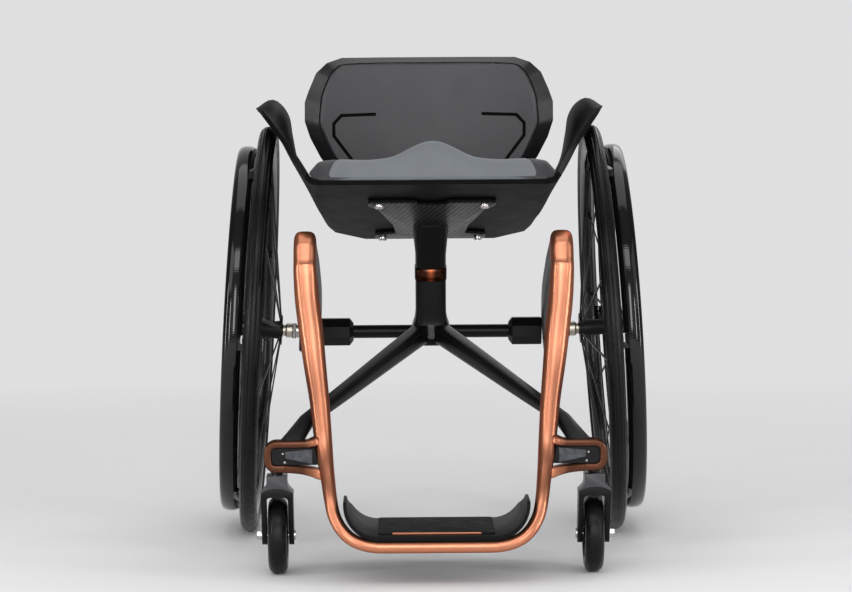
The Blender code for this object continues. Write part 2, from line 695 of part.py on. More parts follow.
def make_rim():
    """Hoop with straight sides under the tyre, narrowing to its spoke bed."""
    half, neck = RIM_WIDTH / 2, RIM_NECK_WIDTH / 2
    wall = RIM_OUTER_RADIUS - RIM_SIDE_SHARE * RIM_DEPTH
    profile = [(half, RIM_OUTER_RADIUS), (half, wall), (neck, RIM_INNER_RADIUS),
               (-neck, RIM_INNER_RADIUS), (-half, wall), (-half, RIM_OUTER_RADIUS)]
    return turned(profile, WHEEL_SEGMENTS, math.pi / WHEEL_SEGMENTS)


def make_handrim():
    """Oval hoop with tabs that reach the side of the rim."""
    section = rounded_section(HANDRIM_WIDTH, HANDRIM_DEPTH, HANDRIM_SQUARENESS, HANDRIM_SIDES)
    profile = [(HANDRIM_OFFSET + x, HANDRIM_RADIUS + r) for x, r in section]
    hoop = turned(profile, WHEEL_SEGMENTS, math.pi / WHEEL_SEGMENTS)
    near = RIM_WIDTH / 2 + CLEARANCE
    far = HANDRIM_OFFSET - HANDRIM_WIDTH / 2 + HANDRIM_TAB_SINK
    low, high = HANDRIM_TAB_ROOT
    tip_low, tip_high = HANDRIM_TAB_TIP
    outline = [(near, RIM_OUTER_RADIUS - low), (far, HANDRIM_RADIUS + tip_low),
               (far, HANDRIM_RADIUS + tip_high), (near, RIM_OUTER_RADIUS - high)]
    tabs = []
    for i in range(HANDRIM_TABS):
        tab = prism(outline, -HANDRIM_TAB_WIDTH / 2, HANDRIM_TAB_WIDTH / 2, "Y")
        tabs.append(moved(tab, Matrix.Rotation(2 * math.pi * (i + 0.5) / HANDRIM_TABS, 4, "X")))
    return union(hoop, joined(tabs))


def make_wheel_hub():
    """Hub shell with two flanges, and the blade spokes that run out to the rim."""
    bore = bore_radius(AXLE_RADIUS, HUB_SEGMENTS)
    edge = HUB_FLANGE_OFFSET + HUB_FLANGE_THICKNESS / 2
    root = HUB_FLANGE_OFFSET - HUB_FLANGE_THICKNESS / 2
    half = [(0.0, HUB_WAIST_RADIUS), (0.8 * root, HUB_BODY_RADIUS), (root, HUB_BODY_RADIUS),
            (root, HUB_FLANGE_RADIUS), (edge, HUB_FLANGE_RADIUS), (edge, HUB_END_RADIUS),
            (HUB_HALF_LENGTH, HUB_END_RADIUS), (HUB_HALF_LENGTH, bore)]
    profile = half + [(-x, r) for x, r in reversed(half[1:])]
    shell = turned(profile, HUB_SEGMENTS, math.pi / HUB_SEGMENTS)
    reach = RIM_INNER_RADIUS * math.cos(math.pi / WHEEL_SEGMENTS) - SPOKE_RIM_GAP
    spokes = []
    for side in (1, -1):
        for i in range(SPOKES_PER_FLANGE):
            angle = 2 * math.pi * (i + 0.25 * (1 - side)) / SPOKES_PER_FLANGE
            start = Vector((side * HUB_FLANGE_OFFSET, 0, HUB_FLANGE_RADIUS - SPOKE_SINK))
            end = Vector((side * SPOKE_RIM_OFFSET, 0, reach))
            end.rotate(Matrix.Rotation(side * SPOKE_LEAD, 3, "X"))
            across = Vector((0, math.cos(side * SPOKE_LEAD), math.sin(side * SPOKE_LEAD))) * (SPOKE_WIDTH / 2)
            through = Vector((SPOKE_THICKNESS / 2, 0, 0))
            rings = [[point + across * u + through * v for u, v in ((1, 1), (-1, 1), (-1, -1), (1, -1))]
                     for point in (start, end)]
            spokes.append(moved(loft(rings), Matrix.Rotation(angle, 4, "X")))
    return union(shell, joined(spokes))


def make_quick_release_axle():
    """Axle with its outboard cap, and the pocket that its button slides in."""
    cap_start = HUB_HALF_LENGTH + CLEARANCE
    cap_end = cap_start + AXLE_CAP_LENGTH
    inner_end = boss_faces()[1] + AXLE_END_SET
    pocket = bore_radius(BUTTON_RADIUS, 12)
    floor = cap_end + BUTTON_PROUD - BUTTON_DEPTH - BUTTON_TRAVEL - CLEARANCE
    turn = math.pi / 12
    shape = spindle([(inner_end, AXLE_RADIUS - EDGE), (inner_end + EDGE, AXLE_RADIUS),
                     (cap_start, AXLE_RADIUS), (cap_start, AXLE_CAP_RADIUS),
                     (cap_end - EDGE, AXLE_CAP_RADIUS), (cap_end, AXLE_CAP_RADIUS - EDGE)], 12, turn)
    return subtract(shape, spindle([(floor, pocket), (cap_end + CUT_PAST, pocket)], 12, turn))


def make_button():
    """Release button, drawn round its own outer face."""
    profile = [(-BUTTON_DEPTH, BUTTON_RADIUS), (-EDGE, BUTTON_RADIUS), (0, BUTTON_RADIUS - EDGE)]
    return spindle(profile, 12, math.pi / 12)


def make_axle_cone():
    """Tapered spacer between the hub and the nut."""
    bore = bore_radius(AXLE_RADIUS, 12)
    outer = -HUB_HALF_LENGTH - RUNNING_GAP
    inner = -HUB_HALF_LENGTH - CONE_LENGTH
    nose = outer - CONE_LENGTH / 4
    profile = [(outer, bore), (outer, CONE_NOSE_RADIUS), (nose, CONE_NOSE_RADIUS),
               (nose - (CONE_RADIUS - CONE_NOSE_RADIUS), CONE_RADIUS), (inner, CONE_RADIUS), (inner, bore)]
    return turned(profile, 12, math.pi / 12)


def make_axle_receiver():
    """Sleeve in the side arm's boss, with its hexagonal nut outside."""
    bore = bore_radius(AXLE_RADIUS, 12)
    outer = -HUB_HALF_LENGTH - CONE_LENGTH - CLEARANCE
    face = outer - NUT_THICKNESS
    inner = boss_faces()[1]
    sleeve = ((outer, bore), (inner, bore), (inner, RECEIVER_RADIUS), (face, RECEIVER_RADIUS))
    rings = [[(x, y, z) for y, z in circle(radius, 12)] for x, radius in sleeve]
    return loft(rings + [hexagon_ring(face, NUT_RADIUS), hexagon_ring(outer, NUT_RADIUS)], closed=True)


def boss_middle_x():
    """Half spacing of the middles of the two bosses."""
    return WHEEL_HALF_TRACK + sum(boss_faces()) / 2 * math.cos(CAMBER)


def boss_faces():
    """Outboard and inboard face of the side arm's boss, along the wheel axle."""
    outer = -HUB_HALF_LENGTH - CONE_LENGTH - NUT_THICKNESS - RECEIVER_NECK
    return outer, outer - BOSS_WIDTH


def axle_matrix(side, height):
    """Places a shape drawn round a wheel's axle in the chair frame."""
    turn = Matrix.Rotation(math.pi, 4, "Z") if side < 0 else Matrix.Identity(4)
    return Matrix.Translation((side * WHEEL_HALF_TRACK, 0, height)) @ turn @ Matrix.Rotation(-CAMBER, 4, "Y")


# Casters, round their own stem, with the trail at +Y

def make_caster_tyre():
    """Solid tyre whose sides round over to a narrow tread."""
    half = CASTER_TYRE_WIDTH / 2
    seat = CASTER_HUB_RADIUS + CLEARANCE
    profile = [(CASTER_HUB_WIDTH / 2, seat), (half, seat + CASTER_TYRE_SIDE)]
    for i in range(CASTER_CROWN_STEPS + 1):
        angle = math.pi / 2 * i / CASTER_CROWN_STEPS
        profile.append((half - CASTER_CROWN_WIDTH * (1 - math.cos(angle)),
                        CASTER_RADIUS - CASTER_CROWN_DEPTH * (1 - math.sin(angle))))
    profile = profile + [(-x, r) for x, r in reversed(profile)]
    return turned(profile, CASTER_SEGMENTS, math.pi / CASTER_SEGMENTS)


def caster_axle_height():
    """Height at which the caster's flat sided tyre just meets the floor."""
    return CASTER_RADIUS * math.cos(math.pi / CASTER_SEGMENTS)


def make_caster_hub():
    """Dished hub with a boss at its axle and a band under the tyre."""
    bore = bore_radius(CASTER_AXLE_RADIUS, 12)
    half = CASTER_HUB_WIDTH / 2
    boss = CASTER_TYRE_WIDTH / 2 + CASTER_BOSS_PROUD
    dish = CASTER_HUB_RADIUS - CASTER_BAND - CASTER_DISH_FILLET
    profile = [(boss, bore), (boss, bore + CASTER_BOSS_WALL), (CASTER_DISC / 2, dish),
               (half, CASTER_HUB_RADIUS - CASTER_BAND), (half, CASTER_HUB_RADIUS)]
    profile = profile + [(-x, r) for x, r in reversed(profile)]
    return turned(profile, CASTER_SEGMENTS, math.pi / CASTER_SEGMENTS)


def leg_face():
    """Outer face of the fork's legs, from the middle of the caster."""
    return CASTER_TYRE_WIDTH / 2 + FORK_SIDE_GAP + FORK_LEG_THICKNESS


def make_caster_axle(side):
    """Bolt through the fork: low head inboard, tall nut outboard."""
    face = leg_face() + CLEARANCE
    head, nut = CASTER_AXLE_HEAD_RADIUS, CASTER_AXLE_HEAD_RADIUS - EDGE
    low, flange = -face - CASTER_BOLT_INNER, face + CASTER_NUT_FLANGE
    profile = [(low, head - EDGE), (low + EDGE, head), (-face, head), (-face, CASTER_AXLE_RADIUS),
               (face, CASTER_AXLE_RADIUS), (face, head), (flange, head), (flange, nut),
               (face + CASTER_NUT_OUTER, nut)]
    mesh = spindle(profile, 12, math.pi / 12)
    return moved(mesh, Matrix.Scale(-1, 4, (1, 0, 0))) if side < 0 else mesh


def arch(half_width, foot, rise, steps):
    """Pairs of an arch from its right foot over to its left foot."""
    radius = (half_width ** 2 + rise ** 2) / (2 * rise)
    centre = foot + rise - radius
    reach = math.degrees(math.asin(half_width / radius))
    return arc((0, centre), radius, 90 - reach, 90 + reach, steps)


def crown_arch(foot, gap):
    """Arch between the fork and the crown over it, from a foot up to the fork's top and a gap."""
    return arch(leg_face() - CLEARANCE / 3, foot, FORK_TOP + gap - foot, 6)


def make_caster_fork():
    """Two legs under an arched bridge, cut to its outline in side view."""
    outer = leg_face()
    inner = outer - FORK_LEG_THICKNESS
    axle = caster_axle_height()
    under = axle + CASTER_RADIUS + FORK_TYRE_GAP
    shoulder = CROWN_FOOT - CLEARANCE
    foot = axle - FORK_END_RADIUS
    front = [(outer, foot), (outer, shoulder)] + crown_arch(shoulder, 0)[1:-1]
    front += [(-outer, shoulder), (-outer, foot), (-inner, foot)]
    front += [(-inner, under), (inner, under), (inner, foot)]
    legs = prism(front, FORK_FRONT_Y - FORK_TOP, CASTER_TRAIL + FORK_TOP, "Y")
    rear = arc((CASTER_TRAIL, axle), FORK_END_RADIUS, 10, -170, 6)
    above, neck = FORK_TOP + FORK_END_RADIUS, shoulder - FORK_NECK
    side = [(FORK_REAR_Y, neck)] + rear + [(FORK_FRONT_Y, neck), (FORK_FRONT_Y, above), (FORK_REAR_Y, above)]
    legs = boolean("INTERSECT", legs, prism(side, -2 * outer, 2 * outer, "X"))
    radius = bore_radius(CASTER_AXLE_RADIUS, 12)
    bore = spindle([(-2 * outer, radius), (2 * outer, radius)], 12, math.pi / 12)
    return subtract(legs, moved(bore, Matrix.Translation((0, CASTER_TRAIL, axle))))


def make_caster_crown():
    """Flared grey cap over the fork, with a hole for the stem."""
    top, foot = CROWN_TOP_WIDTH / 2, CROWN_FOOT_WIDTH / 2
    waist = ((top + foot) / 2 - CROWN_WAIST_DRAW, (CROWN_FOOT + CROWN_TOP) / 2 - CROWN_WAIST_DROP)
    outline = [(foot, CROWN_FOOT)] + crown_arch(CROWN_FOOT, CLEARANCE) + [(-foot, CROWN_FOOT)]
    outline += [(-waist[0], waist[1]), (-top, CROWN_TOP), (top, CROWN_TOP), waist]
    crown = prism(outline, -CROWN_DEPTH / 2, CROWN_DEPTH / 2 + CROWN_REAR_LONGER, "Y")
    bore = bore_radius(STEM_RADIUS, 12, CLEARANCE)
    hole = upright([(CROWN_FOOT, bore), (CROWN_TOP + STEM_RADIUS, bore)], 12, math.pi / 12)
    return subtract(crown, hole)


def make_caster_stem():
    """Stem that turns in the loop's lower bar and in the housing above it."""
    profile = [(FORK_TOP + 2 * CLEARANCE, STEM_RADIUS), (STEM_TOP - EDGE, STEM_RADIUS),
               (STEM_TOP, STEM_RADIUS - EDGE)]
    return upright(profile, 12, math.pi / 12)


def make_stem_bearing():
    """Thin ring between the crown and the loop."""
    low, high = CROWN_TOP + RUNNING_GAP, LOOP_BOTTOM - CLEARANCE
    bore = bore_radius(STEM_RADIUS, 16)
    profile = [(low, bore), (low, BEARING_RADIUS - BEARING_TAPER), (high, BEARING_RADIUS), (high, bore)]
    return upright_ring(profile, 16, math.pi / 16)


# Front frame and side arms

def knee_rows():
    """Stations of the knee: its bend has a round outside, cut by the flat front panel, and a round inside."""
    inner, outer = KNEE_BEND - KNEE_DEPTH / 2, KNEE_BEND + KNEE_DEPTH / 2
    start, end = math.pi - LEG_LEAN, math.pi / 2 - ARM_FALL
    crease = KNEE_PANEL_ANGLE - math.acos((outer - KNEE_PANEL_SET) / outer)
    angles = [start + (crease - start) * i / KNEE_PANEL_STEPS for i in range(KNEE_PANEL_STEPS)]
    angles += [crease + (end - crease) * i / KNEE_BEND_STEPS for i in range(KNEE_BEND_STEPS + 1)]
    rows = []
    for angle in angles:
        facing = math.cos(angle - KNEE_PANEL_ANGLE)
        reach = min(outer, (outer - KNEE_PANEL_SET) / facing) if facing > 0 else outer
        rows.append((angle, (reach + inner) / 2, reach - inner))
    return rows


def knee_point(angle, radius):
    """Place on a circle round the knee's centre, as Y and Z."""
    centre_z = KNEE_TOP - KNEE_DEPTH / 2 - KNEE_BEND
    return KNEE_Y + radius * math.cos(angle), centre_z + radius * math.sin(angle)


def knee_rings():
    """Rings of the knee, square to its bend."""
    rings = []
    for angle, radius, depth in knee_rows():
        section = rounded_section(KNEE_WIDTH, depth, leg_squareness(knee_point(angle, radius)[1]))
        rings.append([Vector((KNEE_X + u, *knee_point(angle, radius + v))) for u, v in section])
    return rings


def swept(stations, facing, section=rounded_section):
    """Tube through stations of X, Y, Z and a section's sizes; its depth lies as near to facing as it can."""
    points = [Vector(row[:3]) for row in stations]
    rings = []
    for i, row in enumerate(stations):
        ahead = (points[min(i + 1, len(points) - 1)] - points[max(i - 1, 0)]).normalized()
        depth_axis = (Vector(facing) - ahead * ahead.dot(Vector(facing))).normalized()
        width_axis = ahead.cross(depth_axis)
        rings.append([points[i] + width_axis * u + depth_axis * v for u, v in section(*row[3:])])
    return rings


def split_ring(beyond=0.0):
    """Ring where the knee meets the side arm, moved on along the tube."""
    run = KNEE_SPLIT_LENGTH + beyond
    back, down = run * math.cos(ARM_FALL), run * math.sin(ARM_FALL)
    return [Vector((point.x, point.y + back, point.z - down)) for point in knee_rings()[-1]]


def leg_squareness(height):
    """The leg's section is rounder low down and squarer at the knee."""
    share = (height - KNEE_SQUARE_FROM) / (KNEE_SQUARE_FULL - KNEE_SQUARE_FROM)
    return TUBE_SQUARENESS + (KNEE_SQUARENESS - TUBE_SQUARENESS) * max(0.0, min(1.0, share))


def leg_rings():
    """Rings from the middle of the footrest bar up one leg and over its knee."""
    first_knee = knee_rows()[0]
    rows = [(*row, leg_squareness(row[2])) for row in LEG_STATIONS]
    ahead = (KNEE_X, *knee_point(*first_knee[:2]), KNEE_WIDTH, first_knee[2])
    return swept(rows + [ahead], (0, -1, 0))[:-1] + knee_rings() + [split_ring()]


def leg_side(height):
    """Outer side of the leg at a height between the caster loop's bars."""
    for low, high in zip(LEG_STATIONS, LEG_STATIONS[1:]):
        if low[2] <= height <= high[2]:
            share = (height - low[2]) / (high[2] - low[2])
            return low[0] + low[3] / 2 + (high[0] - low[0] + (high[3] - low[3]) / 2) * share
    return KNEE_X + KNEE_WIDTH / 2


def loop_rows():
    """Stations of a caster loop's bar: out of the leg, round its outer end and back into the leg."""
    top, bottom = LOOP_TOP - LOOP_TOP_BAR / 2, LOOP_BOTTOM + LOOP_BOTTOM_BAR / 2
    end_x = LOOP_OUTER_X - LOOP_END_BAR / 2 - LOOP_BEND
    reach = CASTER_HALF_TRACK - LOOP_ROOT_X
    rows = [(LOOP_ROOT_X + share * reach, CASTER_STEM_Y + y, top + spread, thick, depth)
            for share, spread, y, thick, depth in reversed(LOOP_TOP_ROOT)]
    for i in range(LOOP_BEND_STEPS + 1):
        thick = LOOP_TOP_BAR + (LOOP_END_BAR - LOOP_TOP_BAR) * i / LOOP_BEND_STEPS
        x, z = arc((end_x, top - LOOP_BEND), LOOP_BEND, 90, 0, LOOP_BEND_STEPS)[i]
        rows.append((x, CASTER_STEM_Y, z, thick, LOOP_DEPTH))
    for i in range(LOOP_BEND_STEPS + 1):
        thick = LOOP_END_BAR + (LOOP_BOTTOM_BAR - LOOP_END_BAR) * i / LOOP_BEND_STEPS
        x, z = arc((end_x, bottom + LOOP_BEND), LOOP_BEND, 0, -90, LOOP_BEND_STEPS)[i]
        rows.append((x, CASTER_STEM_Y, z, thick, LOOP_DEPTH))
    rows += [(LOOP_ROOT_X + share * reach, CASTER_STEM_Y + y, bottom - spread, thick, depth)
             for share, spread, y, thick, depth in LOOP_BOTTOM_ROOT]
    return rows


def make_front_frame():
    """One piece: footrest bar, two legs with their knees, and a caster loop on each side."""
    rings = leg_rings()
    mirror = [[(-point.x, point.y, point.z) for point in ring] for ring in reversed(rings[1:])]
    frame = loft(mirror + rings)
    loop = swept(loop_rows(), (0, -1, 0), chamfered_section)
    bore = bore_radius(STEM_RADIUS, 12)
    for side in SIDES.values():
        frame = union(frame, loft([[(side * p.x, p.y, p.z) for p in ring] for ring in loop]))
        stem_hole = upright([(LOOP_BOTTOM - LOOP_BOTTOM_BAR, bore), (STEM_TOP, bore)], 12, math.pi / 12)
        spot = Matrix.Translation((side * CASTER_HALF_TRACK, CASTER_STEM_Y, 0))
        frame = subtract(frame, moved(stem_hole, spot))
    return frame


def arm_rows(height):
    """Stations of the side arm, along the line between the knee and the boss."""
    front_y, front_z = knee_point(*knee_rows()[-1][:2])
    front = Vector((KNEE_X, front_y + KNEE_SPLIT_LENGTH * math.cos(ARM_FALL),
                    front_z - KNEE_SPLIT_LENGTH * math.sin(ARM_FALL)))
    rear = Vector((boss_middle_x(), 0, height))
    rows = []
    for bow, y, rise, width, depth in ARM_STATIONS:
        place = front.lerp(rear, (y - front.y) / -front.y)
        rows.append((place.x + bow, y, place.z + rise, width, depth))
    return rows


def make_side_arm(side, axle_height):
    """Black arm from the knee's split down to the boss that holds the axle receiver."""
    rings = [split_ring(CLEARANCE)] + swept(smooth(arm_rows(tube_height(axle_height)), 2), (0, 0, 1))
    matrix = axle_matrix(side, axle_height)
    outer, inner = boss_faces()
    profile = [(inner, BOSS_RADIUS - BOSS_BEVEL), (inner + BOSS_BEVEL, BOSS_RADIUS),
               (outer - BOSS_BEVEL, BOSS_RADIUS), (outer, BOSS_RADIUS - BOSS_BEVEL)]
    boss = spindle(profile, 24, math.pi / 24)
    bore = bore_radius(RECEIVER_RADIUS, 12, CLEARANCE)
    hole = spindle([(inner - RECEIVER_RADIUS, bore), (outer + RECEIVER_RADIUS, bore)], 12, math.pi / 12)
    arm = loft([[(side * p.x, p.y, p.z) for p in ring] for ring in rings])
    return subtract(union(arm, moved(boss, matrix)), moved(hole, matrix))


# Chassis

def tube_height(axle_height):
    """The axle line falls towards the middle of the chair, and the tube meets it at the clamps."""
    inner = boss_faces()[1]
    return axle_height + inner * math.sin(CAMBER)


def clamp_outer_x():
    """Outboard end of a clamp, just inside the side arm's boss."""
    inner = boss_faces()[1]
    return WHEEL_HALF_TRACK + inner * math.cos(CAMBER) - BOSS_RADIUS * math.sin(CAMBER) - CLEARANCE


def make_axle_tube():
    """Tube between the two clamps, open at both ends."""
    half = clamp_outer_x() - AXLE_TUBE_WALL
    inner = AXLE_TUBE_RADIUS - AXLE_TUBE_WALL
    profile = [(-half, AXLE_TUBE_RADIUS), (half, AXLE_TUBE_RADIUS), (half, inner), (-half, inner)]
    return turned(profile, 16, math.pi / 16)


def make_axle_clamp(side):
    """Octagonal sleeve round the end of the axle tube."""
    corner = CLAMP_FLATS / 2 / math.cos(math.pi / 8)
    bore = bore_radius(AXLE_TUBE_RADIUS, 8, CLEARANCE)
    outer = clamp_outer_x()
    inner = outer - CLAMP_LENGTH
    profile = [(outer, bore), (outer, corner - EDGE), (outer - EDGE, corner), (inner, corner),
               (inner - CLAMP_CHAMFER, CLAMP_NOSE_RADIUS), (inner - CLAMP_CHAMFER, bore)]
    return turned([(side * x, r) for x, r in profile], 8, math.pi / 8)


def section_ring(width, depth, height, shift=0.0):
    """One horizontal ring of a post, as points."""
    return [(x, y + shift, height) for x, y in rounded_section(width, depth, POST_SQUARENESS, POST_SIDES)]


def strut_section(width, depth):
    """Points of a strut's section, as pairs."""
    return rounded_section(width, depth, STRUT_SQUARENESS, STRUT_SIDES)


def strut_rings(side, height):
    """Rings of a strut, from inside the hub to its flat foot on the caster loop."""
    rows = []
    for x, y, rise, tall, deep in STRUT_STATIONS:
        rows.append((x, y, height + (LOOP_TOP - height) * y / STRUT_FOOT[1] + rise, deep, tall))
    rings = swept(rows, (0, 0, 1), strut_section)
    foot = [Vector((STRUT_FOOT[0] - u, STRUT_FOOT[1] - v, LOOP_TOP + CLEARANCE))
            for u, v in strut_section(*STRUT_FOOT_SIZE)]
    return [[(side * p.x, p.y, p.z) for p in ring] for ring in rings + [foot]]


def make_base_frame(height):
    """Carbon piece: the hub round the axle tube, the post's foot on it, and the two struts."""
    lean = Matrix.Translation((0, 0, height)) @ Matrix.Rotation(POST_LEAN, 4, "X")
    straight = tuple((level, POST_WIDTH, POST_DEPTH) for level in (POST_STRAIGHT, POST_JOINT))
    foot = loft([section_ring(width, depth, level) for level, width, depth in POST_FOOT_LEVELS + straight])
    cavity = loft([section_ring(SPIGOT_WIDTH + 2 * CLEARANCE, SPIGOT_DEPTH + 2 * CLEARANCE, level)
                   for level in (SPIGOT_FOOT - SPIGOT_ROOM, POST_JOINT + SPIGOT_ROOM)])
    body = moved(foot, lean)
    for side in SIDES.values():
        body = union(body, loft(strut_rings(side, height)))
    bore = bore_radius(AXLE_TUBE_RADIUS, 16, CLEARANCE)
    tunnel = spindle([(-2 * POST_WIDTH, bore), (2 * POST_WIDTH, bore)], 16, math.pi / 16)
    tunnel = moved(tunnel, Matrix.Translation((0, 0, height)))
    low, high = insert_box(height, CLEARANCE)
    return subtract(body, moved(cavity, lean), tunnel, block(low, high))


def insert_box(height, gap=0.0):
    """Corners of the light insert in the hub's front, grown by a gap."""
    open_front = INSERT_DEPTH * (gap > 0)
    half_width, half_height = INSERT_WIDTH / 2 + gap, INSERT_HEIGHT / 2 + gap
    low = (-half_width, INSERT_FRONT_Y - open_front, height - INSERT_DROP - half_height)
    high = (half_width, INSERT_FRONT_Y + INSERT_DEPTH + gap, height - INSERT_DROP + half_height)
    return low, high


def make_collar():
    """Copper ring that clamps the seat post."""
    outer = (POST_WIDTH + COLLAR_PROUD, POST_DEPTH + COLLAR_PROUD)
    inner = (SPIGOT_WIDTH + 2 * CLEARANCE, SPIGOT_DEPTH + 2 * CLEARANCE)
    low, high = POST_JOINT + CLEARANCE, POST_JOINT + CLEARANCE + COLLAR_HEIGHT
    drawn_in = (outer[0] - EDGE, outer[1] - EDGE)
    rings = [section_ring(*inner, low), section_ring(*drawn_in, low), section_ring(*outer, low + EDGE),
             section_ring(*outer, high - EDGE), section_ring(*drawn_in, high), section_ring(*inner, high)]
    return loft(rings, closed=True)


# Footrest

def tray_outline():
    """U outline of the tray in front view, outside and then back inside."""
    base = bar_top() + CLEARANCE
    bend = TRAY_CORNER - TRAY_FLOOR
    outside = [(TRAY_HALF_WIDTH, TRAY_TOP)]
    outside += arc((TRAY_HALF_WIDTH - TRAY_CORNER, base + TRAY_CORNER), TRAY_CORNER, 0, -90, 5)
    inside = arc((TRAY_HALF_WIDTH - TRAY_WALL - bend, base + TRAY_CORNER), bend, -90, 0, 5)
    inside += [(TRAY_HALF_WIDTH - TRAY_WALL, TRAY_TOP)]
    return outside + [(-x, z) for x, z in reversed(outside)] + [(-x, z) for x, z in reversed(inside)] + inside


def bar_top():
    """Top of the footrest bar."""
    return LEG_STATIONS[0][2] + LEG_STATIONS[0][3] / 2


def make_footplate():
    """Tray with its sides cut lower towards the rear."""
    tray = prism(tray_outline(), TRAY_FRONT_Y, TRAY_REAR_Y, "Y")
    above, before, behind = TRAY_TOP + CUT_PAST, TRAY_FRONT_Y - CUT_PAST, TRAY_REAR_Y + CUT_PAST
    side_cut = [(TRAY_FRONT_Y + TRAY_LEVEL_LENGTH, above), (TRAY_FRONT_Y + TRAY_LEVEL_LENGTH, TRAY_TOP),
                (TRAY_REAR_Y - TRAY_REAR_CORNER, TRAY_REAR_TOP),
                (behind, TRAY_REAR_TOP - TRAY_REAR_CORNER - CUT_PAST), (behind, above)]
    front_cut = [(before, above), (before, TRAY_TOP - TRAY_FRONT_CORNER - CUT_PAST),
                 (TRAY_FRONT_Y + TRAY_FRONT_CORNER, above)]
    reach = 2 * TRAY_HALF_WIDTH
    return subtract(tray, prism(side_cut, -reach, reach, "X"), prism(front_cut, -reach, reach, "X"))


def floor_of_tray():
    """Top of the tray's floor."""
    return bar_top() + CLEARANCE + TRAY_FLOOR


def make_footplate_grip():
    """Thin rubber mat with cut corners on the tray's floor."""
    low = floor_of_tray() + CLEARANCE
    high = low + GRIP_THICKNESS
    rear, front, half, cut = GRIP_REAR_Y, GRIP_FRONT_Y, GRIP_HALF_WIDTH, GRIP_CORNER
    outline = [(half - cut, front), (half, front + cut), (half, rear - cut), (half - cut, rear),
               (-half + cut, rear), (-half, rear - cut), (-half, front + cut), (-half + cut, front)]
    return prism(outline, low, high, "Z")


def make_footplate_trim():
    """Thin bar along the front of the mat."""
    low = floor_of_tray() + CLEARANCE
    front = GRIP_FRONT_Y - CLEARANCE - TRIM_DEPTH
    return block((-TRIM_HALF_WIDTH, front, low), (TRIM_HALF_WIDTH, front + TRIM_DEPTH, low + TRIM_HEIGHT))


# Caster loop inserts

def make_caster_housing(side):
    """Black block that fills the loop, with a blind bore for the stem and a pocket for the side lens."""
    corner = LOOP_BEND - LOOP_END_BAR / 2 + CLEARANCE
    outer = LOOP_OUTER_X - LOOP_END_BAR - CLEARANCE
    high, low = LOOP_TOP - LOOP_TOP_BAR - CLEARANCE, LOOP_BOTTOM + LOOP_BOTTOM_BAR + CLEARANCE
    outline = [(leg_side(high) + 2 * CLEARANCE, high)]
    outline += arc((outer - corner, high - corner), corner, 90, 0, LOOP_BEND_STEPS)
    outline += arc((outer - corner, low + corner), corner, 0, -90, LOOP_BEND_STEPS)
    outline += [(leg_side(low) + 2 * CLEARANCE, low)]
    depth = LOOP_DEPTH / 2 - HOUSING_SET
    front = CASTER_STEM_Y - depth
    housing = prism([(side * x, z) for x, z in outline], front, CASTER_STEM_Y + depth, "Y")
    pocket_outline = [(side * x, z) for x, z in lens_outline(CLEARANCE)]
    pocket = prism(pocket_outline, front - LENS_DEPTH, front + LENS_DEPTH, "Y")
    bore = bore_radius(STEM_RADIUS, 12)
    stem_hole = upright([(LOOP_BOTTOM, bore), (STEM_TOP + CLEARANCE, bore)], 12, math.pi / 12)
    spot = Matrix.Translation((side * CASTER_HALF_TRACK, CASTER_STEM_Y, 0))
    return subtract(housing, pocket, moved(stem_hole, spot))


def lens_outline(grow):
    """Wedge of the side lens in front view, grown by a gap."""
    start = leg_side(LOOP_BOTTOM + LOOP_BOTTOM_BAR) + LENS_START
    inner, outer = start - grow, CASTER_HALF_TRACK - LENS_END + grow
    low, high = LOOP_BOTTOM + LOOP_BOTTOM_BAR - grow, LOOP_TOP - LOOP_TOP_BAR + grow
    return [(inner, low + LENS_MARGIN), (outer, low + LENS_LOW_RISE),
            (outer, high - LENS_HIGH_FALL), (inner, high - LENS_MARGIN)]


def make_side_lens(side):
    """Grey wedge in the housing's pocket."""
    front = CASTER_STEM_Y - LOOP_DEPTH / 2 + HOUSING_SET
    outline = [(side * x, z) for x, z in lens_outline(0)]
    return prism(outline, front - LENS_PROUD, front + LENS_DEPTH - CLEARANCE, "Y")


# Seat

def pan_height(y):
    """Height of the pan's underside at a distance along the chair."""
    return SEAT_FRONT_Z - (y - SEAT_FRONT_Y) * math.tan(SEAT_SLOPE)


def pan_edge_height(y):
    """Height of the pan's underside at its corners, which rise towards the rear."""
    share = (y - SEAT_FRONT_Y) / (SHELL_STATIONS[-1][0] - SEAT_FRONT_Y)
    return pan_height(y) + PAN_REAR_RISE * share


def shell_stations():
    """Stations of the shell as flat rows: Y, then half width and Z for each place up the wall."""
    rows = []
    for y, *wall in SHELL_STATIONS:
        rows.append([y] + [value for out, z in wall for value in (SEAT_HALF_WIDTH + out, z)])
    return rows


def shell_rows():
    """Rows of the shell's outer surface, each from the centre line out to the rim."""
    rows = []
    for y, half, _, *wall in smooth(shell_stations(), SHELL_ROW_STEPS):
        share = (y - SEAT_FRONT_Y) / (SHELL_STATIONS[-1][0] - SEAT_FRONT_Y)
        sweep = GUARD_REAR_SWEEP * max(0.0, share - GUARD_SWEEP_FROM) / (1 - GUARD_SWEEP_FROM)
        side = smooth([(half, pan_edge_height(y))] + list(zip(wall[::2], wall[1::2])), SHELL_WALL_STEPS)
        row = [Vector((0, y, pan_height(y))), Vector((half * PAN_FLAT_SHARE, y, pan_height(y)))]
        row += [Vector((x, y + sweep * i / (len(side) - 1), z)) for i, (x, z) in enumerate(side)]
        rows.append(row)
    rows[-1][-1].y -= GUARD_CORNER
    return rows


